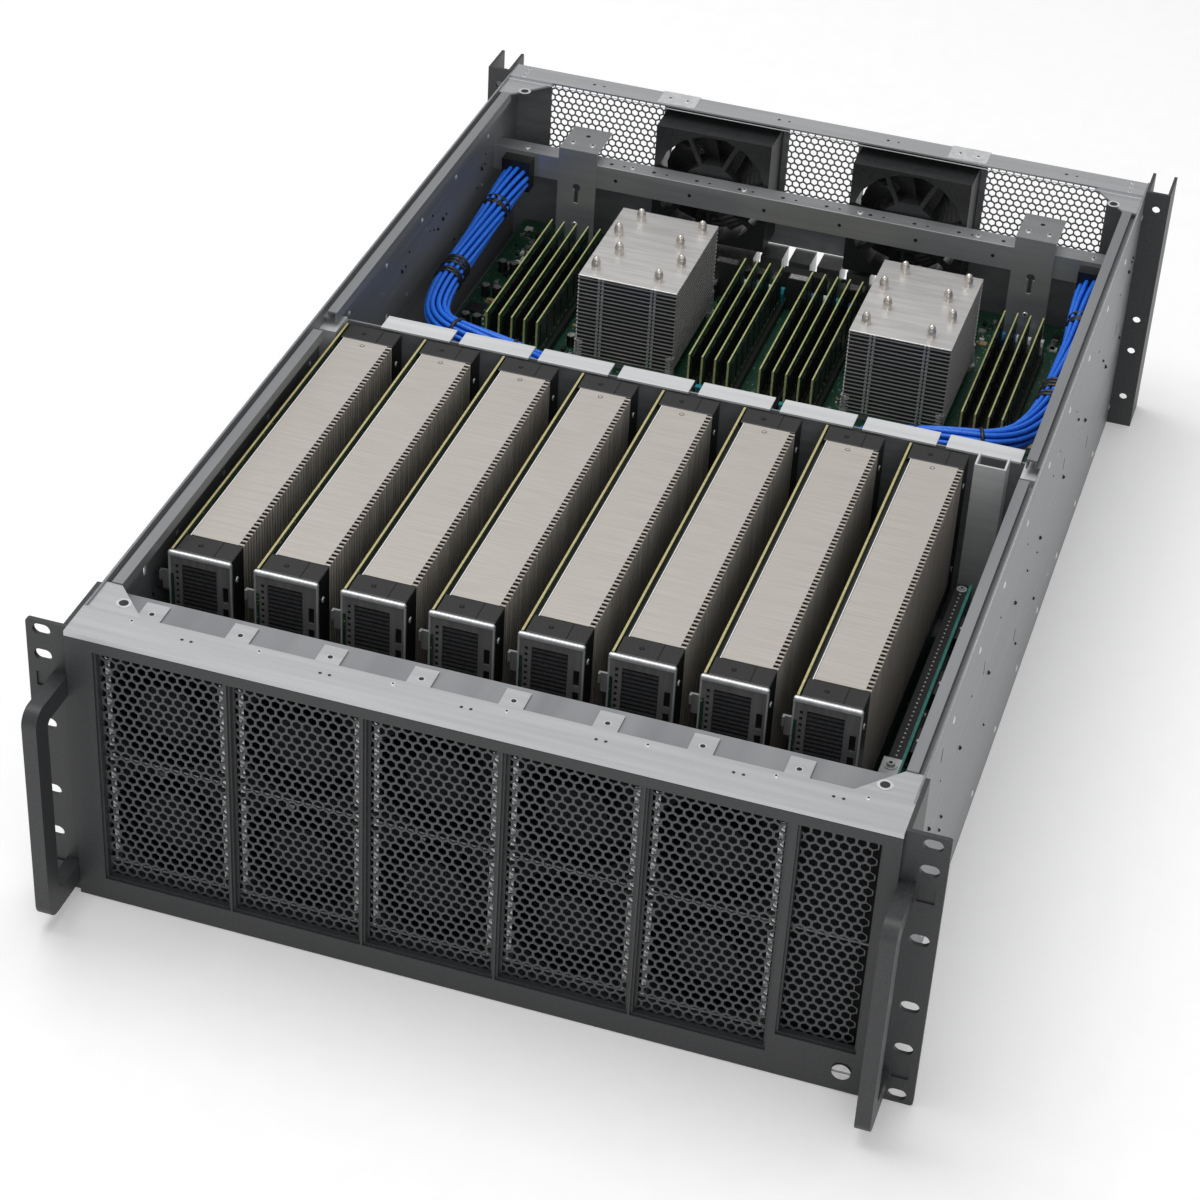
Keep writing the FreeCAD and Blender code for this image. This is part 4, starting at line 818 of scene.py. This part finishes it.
# %% Boards, chips and pale edges
chip_black, laminate_edge, tan_part = [fine(*row) for row in (
    ("chip_black", (0.008, 0.008, 0.009), (0.018, 0.018, 0.02), (0.3, 0.45), 700),
    ("laminate_edge", (0.34, 0.36, 0.13), (0.46, 0.46, 0.2), (0.45, 0.6), 500),
    ("tan_part", (0.3, 0.22, 0.12), (0.42, 0.33, 0.2), (0.4, 0.5), 900))]
module_pitch = 8.6
banks = ((-151.996, 5), (-19.308, 4), (31.632, 5), (158.158, 4))
mesh = bmesh.new()
for x in [middle + module_pitch * (k - (count - 1) / 2) for middle, count in banks
          for k in range(count)]:
    add_box(mesh, x - 0.5, x + 0.5, 504.2, 637.1, 66.2, 97.1)
    add_box(mesh, x - 0.5, x + 0.5, 504, 637.3, 97.1, 97.4, 2)
    add_box(mesh, x - 0.62, x + 0.62, 504, 504.3, 70, 97.1, 2)
    for k in range(9):
        d = 510 + 13.9 * k
        add_box(mesh, x - 1.15, x + 1.15, d, d + 10.5, 76, 93, 1)
    for k in range(16):
        d = 508 + 8 * k
        add_box(mesh, x - 0.8, x + 0.8, d, d + 1.6, 72.5, 73.6, 3)
modules = finish_piece("memory_boards", mesh, [memory_green, chip_black, laminate_edge, tan_part])
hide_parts("memory_modules")

# %% [markdown]
# ## Small parts on the main board
# Hundreds of small parts cover a server board. A seeded random choice gives each a place, one of
# a few sizes and one of a few finishes, and skips the places that larger parts take.

# %% Scattered parts
silver_part, white_part = [fine(*row) for row in (
    ("silver_part", (0.55, 0.55, 0.54), (0.75, 0.75, 0.74), (0.2, 0.35), 500, 0.1, 0.03, 0.9),
    ("white_part", (0.6, 0.6, 0.56), (0.74, 0.74, 0.7), (0.4, 0.5), 500))]
part_finishes = [chip_black, tan_part, silver_part, white_part, slot_plastic]
taken = [(middle - 22, middle + 22, 497, 645) for middle, count in banks]
taken += [(x - 36, x + 36, 512, 622) for x in cooler_middles]
taken += [(x - 32, x + 32, 630, 644) for x in cooler_middles]
taken += [(-102, -72, 437, 463), (72, 102, 437, 463), (-42, -16, 418, 448), (8, 52, 418, 448)]
chips = ((-118, 676, 7), (-60, 664, 9), (30, 672, 7), (92, 662, 10), (180, 520, 6), (-196, 560, 6),
         (-60, 480, 12), (40, 480, 9), (120, 470, 8), (150, 430, 9), (-120, 420, 8))
taken += [(x - half, x + half, d - half, d + half) for x, d, half in chips]
taken += [(-203, -158, 418, 464), (-12, 22, 653, 665), (-172, -142, 648, 688),
          (142, 172, 648, 688)]


def is_free(x, d, reach):
    """Whether a small part at a place keeps clear of the larger parts."""
    return not any(x0 - reach < x < x1 + reach and d0 - reach < d < d1 + reach
                   for x0, x1, d0, d1 in taken)


part_sizes = ((1, 1.8, 0.8), (2, 1.2, 0.9), (3.2, 2.4, 1.2), (5, 5, 1.2), (2.4, 4.4, 2.2),
              (1.2, 0.8, 0.6))
dice = random.Random(4)
mesh = bmesh.new()
made = 0
for attempt in range(4200):
    x = dice.uniform(-200, 200)
    d = dice.uniform(404, 678)
    part = dice.choice(part_sizes)
    if is_free(x, d, 2.5):
        add_block(mesh, x, d, board_top, *part, dice.choice((0, 0, 1, 2, 2, 3)))
        made += 1
finish_piece("board_small_parts", mesh, part_finishes)
print(made, "small parts")

# %% [markdown]
# ## Larger parts on the main board
# Chokes, round capacitors and square chips stand round the coolers, and a row of tall black plugs
# in front of the beam.

# %% Chokes, capacitors and chips
mesh = bmesh.new()
for x in cooler_middles:
    for k in range(7):
        add_block(mesh, x - 25.7 + 8.6 * k, 637, 75, 6.6, 8, 0.6, 2)
for columns, rows, reach, radius, top, sides in (
        ((-140, -128, -38, -28, 8, 60, 70, 142, 188), (652, 668), 4, 4, 72, 14),
        ((-196, -188, -122, -38, 4, 60, 134, 194), (470, 500, 540, 580, 615), 3.4, 3.2, 71, 12)):
    for x, d in [(x, d) for x in columns for d in rows if is_free(x, d, reach)]:
        add_post(mesh, x, d, board_top, top, radius, sides)
        add_post(mesh, x, d, top, top + 0.3, radius - 0.4, sides, 2)
for x, d, half in chips:
    add_block(mesh, x, d, board_top, 2 * half, 2 * half, 1.6)
for x, wide, deep, tall in ((-112, 12, 8, 22), (-46, 16, 8, 26), (4, 14, 8, 24), (44, 12, 9, 25),
                            (112, 18, 8, 23), (-86, 14, 8, 24), (82, 14, 8, 22)):
    add_block(mesh, x, 644, board_top, wide, deep, tall, 4)
    add_block(mesh, x, 644, board_top + tall, wide - 2, deep - 2, 0.1, 2)
finish_piece("board_large_parts", mesh, part_finishes)

# %% [markdown]
# ## Rails, gussets and clips
# The front rail carries small screws and marks, the corner plates one ringed hole each and the
# rear rail two screwed splice plates. Marks and holes are thin discs that lie on the sheet, the
# dark ones painted shade, and screws are short heads whose dark socket is painted shade.


# %% Screws and marks on the rails
def add_mark(mesh, x, d, z, direction, radius, material, sides=14, thickness=0.06):
    """A thin round disc that lies on a surface."""
    base = place(x, d, z)
    add_rod(mesh, base, base + Vector(direction) * thickness * mm, radius, sides, material)


rail_top = 176
up = (0, 0, 1)
front_way = (0, -1, 0)
mesh = bmesh.new()
for x in (-190, -120, -48, 12, 85, 150, 196):
    add_screw(mesh, x, 20, rail_top, up, 1.5, 0.35)
# Dark discs of painted shade for holes.
for x in (-160, -85, -10, 60, 130, 180):
    add_mark(mesh, x, 15, rail_top, up, 0.9, 1)
    add_mark(mesh, x + 5, 15, rail_top, up, 0.9, 1)
for side in (-1, 1):
    for d in (34, 664):
        add_mark(mesh, side * 201, d, 174.9, up, 4.2, 0)
        add_mark(mesh, side * 201, d, 174.96, up, 2.6, 1)
    for k in range(3):
        add_screw(mesh, side * 208, 683 + 6 * k, rail_top, up, 1.4, 0.3)
    add_block(mesh, side * 100, 690.75, rail_top, 26, 17.5, 0.5)
    for k in (-1, 1):
        add_screw(mesh, side * 100 + 6 * k, 690, rail_top + 0.5, up, 2, 0.4)
for x in (-160, -30, 45, 165):
    add_mark(mesh, x, 690, rail_top, up, 1.1, 1)
    add_mark(mesh, x + 7, 690, rail_top, up, 0.8, 1)
finish_piece("rail_details", mesh, [steel, painted_gap_shade])
mesh = bmesh.new()
# Each hole: a steel ring round a dark disc of painted shade.
for d in (30.5, 38.5):
    add_mark(mesh, card_x + 17.5, d, 168.2, up, 2, 0)
    add_mark(mesh, card_x + 17.5, d, 168.26, up, 1.4, 1)
clip_holes = finish_piece("clip_holes", mesh, [steel, painted_gap_shade])
repeat(clip_holes, card_count, x=card_pitch)

# %% [markdown]
# ## Beam and its brackets
# The beam has a row of holes and screws along its top, and two screws hold each bracket. Light
# catches the cut edges of sheets: thin pale strips of painted highlight mark those of the beam,
# the rear rail and both walls.

# %% Beam details
beam_top = 137
mesh = bmesh.new()
# Holes along the beam: dark discs of painted shade.
for x in range(-135, 140, 30):
    add_mark(mesh, x, 656.5, beam_top, up, 1.4, 1)
    add_mark(mesh, x + 9, 656.5, beam_top, up, 0.9, 1)
for x in (-195, -120, -42, 38, 118, 195):
    add_screw(mesh, x, 657, beam_top, up, 2, 0.6)
for x in range(-130, 140, 52):
    add_mark(mesh, x, 651, 128, front_way, 1.3, 1)
for side in (-1, 1):
    for shift in (-7, 7):
        add_screw(mesh, side * 157 + shift, 660, 146, up, 2.2, 0.7)
    add_mark(mesh, side * 157, 672, 146, up, 1.6, 1)
    add_screw(mesh, side * 157, 649.4, 90, front_way, 2, 0.6)
# Painted highlights: thin pale strips on the cut edges of the beam, the rear rail and both walls.
add_box(mesh, -143, 143, 650.95, 651.5, 136.6, 137.05, 2)
add_box(mesh, -217, 217, 676, 676.5, 175.6, rail_top, 2)
for side in (-1, 1):
    add_block(mesh, side * 218.24, 350, 175.5, 0.48, 640, 0.5, 2)
finish_piece("beam_details", mesh, [steel, painted_gap_shade, pale])

# %% [markdown]
# ## Side walls
# Rivets and holes run along both walls in rows, outside and inside, and a seeded scatter of small
# marks stands between the rows.

# %% Rivets and holes
wall_outside = 218.5
wall_inside = 217.3
mesh = bmesh.new()
for side in (-1, 1):
    out = (side, 0, 0)
    into = (-side, 0, 0)
    for d in range(55, 690, 63):
        for x, at, z, rise, radius, sides in (
                (wall_outside, d, 12, 0.5, 2.2, 12), (wall_outside, d, 158, 0.5, 2.2, 12),
                (wall_inside, d + 16, 150, -0.6, 1.8, 10)):
            ends = [place(side * far, at, z) for far in (x, x + rise)]
            add_rod(mesh, *ends, radius, sides, tip=0.6)
    # Holes: dark discs of painted shade.
    for d in range(80, 680, 75):
        add_mark(mesh, side * wall_outside, d, 120 - 0.05 * d, out, 1.5, 1)
        add_mark(mesh, side * wall_inside, d + 20, 132, into, 1.6, 1)
        add_mark(mesh, side * wall_inside, d + 27, 132, into, 1, 1)
# Scattered small marks: steel discs, and dark discs of painted shade.
dice = random.Random(3)
for k in range(46):
    side = dice.choice((-1, 1))
    for x, way, d0, d1, z0, widest in ((wall_outside, side, 40, 690, 20, 1.5),
                                       (wall_inside, -side, 370, 640, 75, 1.3)):
        add_mark(mesh, side * x, dice.uniform(d0, d1), dice.uniform(z0, 150), (way, 0, 0),
                 dice.uniform(0.7, widest), dice.choice((0, 1, 1)), 10)
finish_piece("wall_details", mesh, [steel, painted_gap_shade])

# %% [markdown]
# ## Beside the last card
# An upright board stands beside the eighth card, in a black rail with a row of tiny dots. A bent
# bracket with a bolt holds the rail's front end, a ringed screw its rear end, and small parts
# line the board.

# %% Rail, bracket and upright board
mesh = bmesh.new()
add_mark(mesh, 186.8, 152, 100, up, 0.6, 0, 8)
dots = finish_piece("rail_dots", mesh, [steel])
repeat(dots, 41, d=4)
mesh = bmesh.new()
add_box(mesh, 181, 191, 133, 147.6, 100, 101.2)
add_box(mesh, 181, 191, 133, 134.2, 74, 100)
add_mark(mesh, 186, 141, 101.2, up, 3.8, 0, 16, 0.5)
add_screw(mesh, 186, 141, 101.7, up, 2.6, 1.6)
add_mark(mesh, 186.8, 313, 100, up, 3, 0, 16, 0.4)
add_screw(mesh, 186.8, 313, 100.4, up, 2, 0.8)
dice = random.Random(9)
for k in range(46):
    d = dice.uniform(133, 315)
    z = dice.uniform(56, 99)
    reach = dice.uniform(0.8, 2)
    add_box(mesh, 192.1, 192.1 + dice.uniform(0.6, 1.6), d - reach, d + reach, z - 0.8, z + 0.8,
            dice.choice((0, 2, 2, 3)))
for d in (160, 214, 268):
    add_box(mesh, 192.1, 197.5, d, d + 22, 86, 98, 2)
    add_mark(mesh, 195, d + 11, 98, up, 1.6, 0)
add_box(mesh, 190.45, 192.15, 130, 318, 100.95, 101.1, 4)
teal_edge = finish("teal_edge", (0.03, 0.24, 0.2), (0.05, 0.32, 0.26), (0.4, 0.5), 0, 300)
finish_piece("riser_details", mesh, [steel, painted_gap_shade, chip_black, tan_part, teal_edge])

# %% [markdown]
# ## Behind the bezel
# Light that falls between the fans catches the edges of their frames, and the mesh shows them as
# upright lines of bright spots. Narrow bright steel strips on the frames are painted highlights
# that make them, and a dark sheet of painted shade fills the space behind the side window. Black
# bars behind the posts of the bezel give each post a step at both sides.

# %% Painted highlights on the fan frames, painted shade behind the side window
mesh = bmesh.new()
first_fan = -167
fan_pitch = 73.5
# Painted highlights: bright steel strips on the frames' edges, for light caught there; dark discs
# of painted shade for the frames' screw holes.
for k in range(5):
    x = first_fan + fan_pitch * k
    for side in (-1, 1):
        add_block(mesh, x + side * 31.5, 7.55, 24.5, 2.6, 0.7, 140.5)
    for z in (59, 130.8):
        for reach_x, reach_z in ((-31, -31), (-31, 31), (31, -31), (31, 31)):
            add_mark(mesh, x + reach_x, 7.2, z + reach_z, front_way, 2.6, 1)
# A dark sheet of painted shade behind the side window.
add_box(mesh, 165.5, 211, 9, 9.6, 24.5, 165, 2)
for x, wide in ((-130.25, 6.2), (-56.75, 6.2), (16.75, 6.2), (90.25, 6.2), (164.6, 7.2)):
    add_block(mesh, x, 4.625, 16.5, wide, 0.85, 148, 3)
finish_piece("fan_glints_and_shade", mesh, [steel, painted_gap_shade, fan_plastic, black_coat])

# %% [markdown]
# ## Fan wheels
# A fan blade is a broad sheet that twists from a steep root to a flat tip. Each starts as a flat
# grid, whose points turn about the blade's radial line by an angle that falls towards the tip.
# Each wheel rides on its own body and takes the place of the drawing's wheel.


# %% Wheels with twisted blades
def fan_wheel(node, x, z, d0, d1, hub, tip, count, material):
    """A wheel between two depths, which replaces a node and rides on its body."""
    mesh = bmesh.new()
    middle = place(x, (d0 + d1) / 2, z)
    limit = (d1 - d0) / 2 - 0.4
    add_rod(mesh, place(x, d0, z), place(x, d1, z), hub, 24)
    chord = 2.2 * math.pi * (hub + tip) / count
    for k in range(count):
        blade = bmesh.ops.create_grid(mesh, x_segments=5, y_segments=4, size=0.5)["verts"]
        for vert in blade:
            share = vert.co.x + 0.5
            along = hub - 1 + (tip - hub + 1) * share
            across = vert.co.y * chord * (0.8 + 0.35 * share)
            pitch = math.radians(38 - 20 * share)
            rise = max(-limit, min(limit, across * math.sin(pitch)))
            angle = 2 * math.pi * k / count + across * math.cos(pitch) / along + 0.18 * share
            shift = Vector((along * math.cos(angle), rise, along * math.sin(angle)))
            vert.co = middle + shift * mm
    wheel = finish_piece("wheel_" + node, mesh, [material], node)
    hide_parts(node)


for k, x in enumerate(fan_middles, 1):
    fan_wheel(f"rear_rotor_{k}", x, 127, 670.3, 696.6, 19, 36, 9, rear_fan_plastic)
for k in range(10):
    x = first_fan + fan_pitch * (k % 5)
    z = 58.7 + 71.8 * (k // 5)
    fan_wheel(f"front_rotor_{k + 1}", x, z, 10.2, 42.4, 16.5, 31, 7, rotor_plastic)

# %% [markdown]
# ## The rear of the supplies
# Each supply shows a finger guard of wire rings over its fan, three blades in the power inlet and
# a small green lamp. They ride on the supplies, so they move when a supply slides out.

# %% Guards, inlets and lamps
lamp_green = finish("lamp_green", (0.05, 0.45, 0.1), (0.08, 0.6, 0.16), (0.2, 0.3), 0, 300)
fan_z = 21.5


def ring_place(x, d, radius, angle):
    """A point round the middle of a supply's fan, at one depth."""
    return place(x + radius * math.cos(angle), d, fan_z + radius * math.sin(angle))


for number, middle in enumerate(supply_middles, 1):
    fan_x = middle - 16.75
    inlet_x = middle + 20.75
    mesh = bmesh.new()
    for k in range(4):
        angle = math.radians(45 + 90 * k)
        ends = [ring_place(fan_x, 699.6, radius, angle) for radius in (3, 15)]
        add_rod(mesh, *ends, 0.45, 6)
    add_rod(mesh, place(fan_x, 695.6, fan_z), place(fan_x, 699, fan_z), 5.5, 18, 1)
    for k in range(7):
        ends = [ring_place(fan_x, 697, radius, 2 * math.pi * k / 7) for radius in (5, 14.2)]
        add_rod(mesh, *ends, 1.6, 4, 1)
    for blade in (-5.5, 0, 5.5):
        add_block(mesh, inlet_x + blade, 688, 19, 2, 10, 5)
    add_block(mesh, inlet_x, 682.35, 13.4, 23.8, 0.5, 16.2, 1)
    add_mark(mesh, inlet_x + 8, 700, 36.5, (0, 1, 0), 1.3, 2)
    rings = [[ring_place(fan_x, 699.8, radius, 2 * math.pi * k / 24) for k in range(25)]
             for radius in (5, 8, 11, 14.2)]
    wire = tube_mesh("guard_wires", rings, 0.4)
    mesh.from_mesh(wire)
    bpy.data.meshes.remove(wire)
    finish_piece(f"supply_details_{number}", mesh, [steel, rotor_plastic, lamp_green],
                 f"power_supply_{number}")

# %% [markdown]
# ## Ports
# The ports get their inner tongues: blue for the bus ports, gold contacts for the network ports,
# and rows of pin holes in the two wide shells.

# %% Tongues and contacts
port_blue, gold = [finish(*row) for row in (
    ("port_blue", (0.01, 0.1, 0.45), (0.02, 0.14, 0.55), (0.3, 0.4), 0, 300),
    ("contact_gold", (0.7, 0.48, 0.16), (0.82, 0.58, 0.22), (0.2, 0.3), 1, 300))]
mesh = bmesh.new()
for x in (-24.5, -4.5):
    for z in (65.6, 71.6):
        add_box(mesh, x - 5, x + 5, 684, 698.5, z, z + 1.6)
for x in (16, 37, 58):
    add_box(mesh, x - 5.5, x + 5.5, 682, 690, 66, 74.5, 1)
    for k in range(8):
        add_box(mesh, x - 4.2 + 1.1 * k, x - 3.7 + 1.1 * k, 690, 696, 73.2, 73.8, 2)
for x, rows in ((-88.5, 2), (-52.5, 3)):
    add_box(mesh, x - 10, x + 10, 699.9, 700.4, 65.5, 72.5, 1 if rows == 2 else 0)
    # Pin holes: dark discs of painted shade.
    for row in range(rows):
        for k in range(5):
            add_mark(mesh, x - 6 + 3 * k, 700.4, 67.2 + 1.9 * row, (0, 1, 0), 0.6, 3, 6)
    for side in (-13.2, 13.2):
        add_rod(mesh, place(x + side, 699.9, 68.5), place(x + side, 703, 68.5), 2.2, 6, 4)
finish_piece("port_details", mesh, [port_blue, slot_plastic, gold, painted_gap_shade, steel])
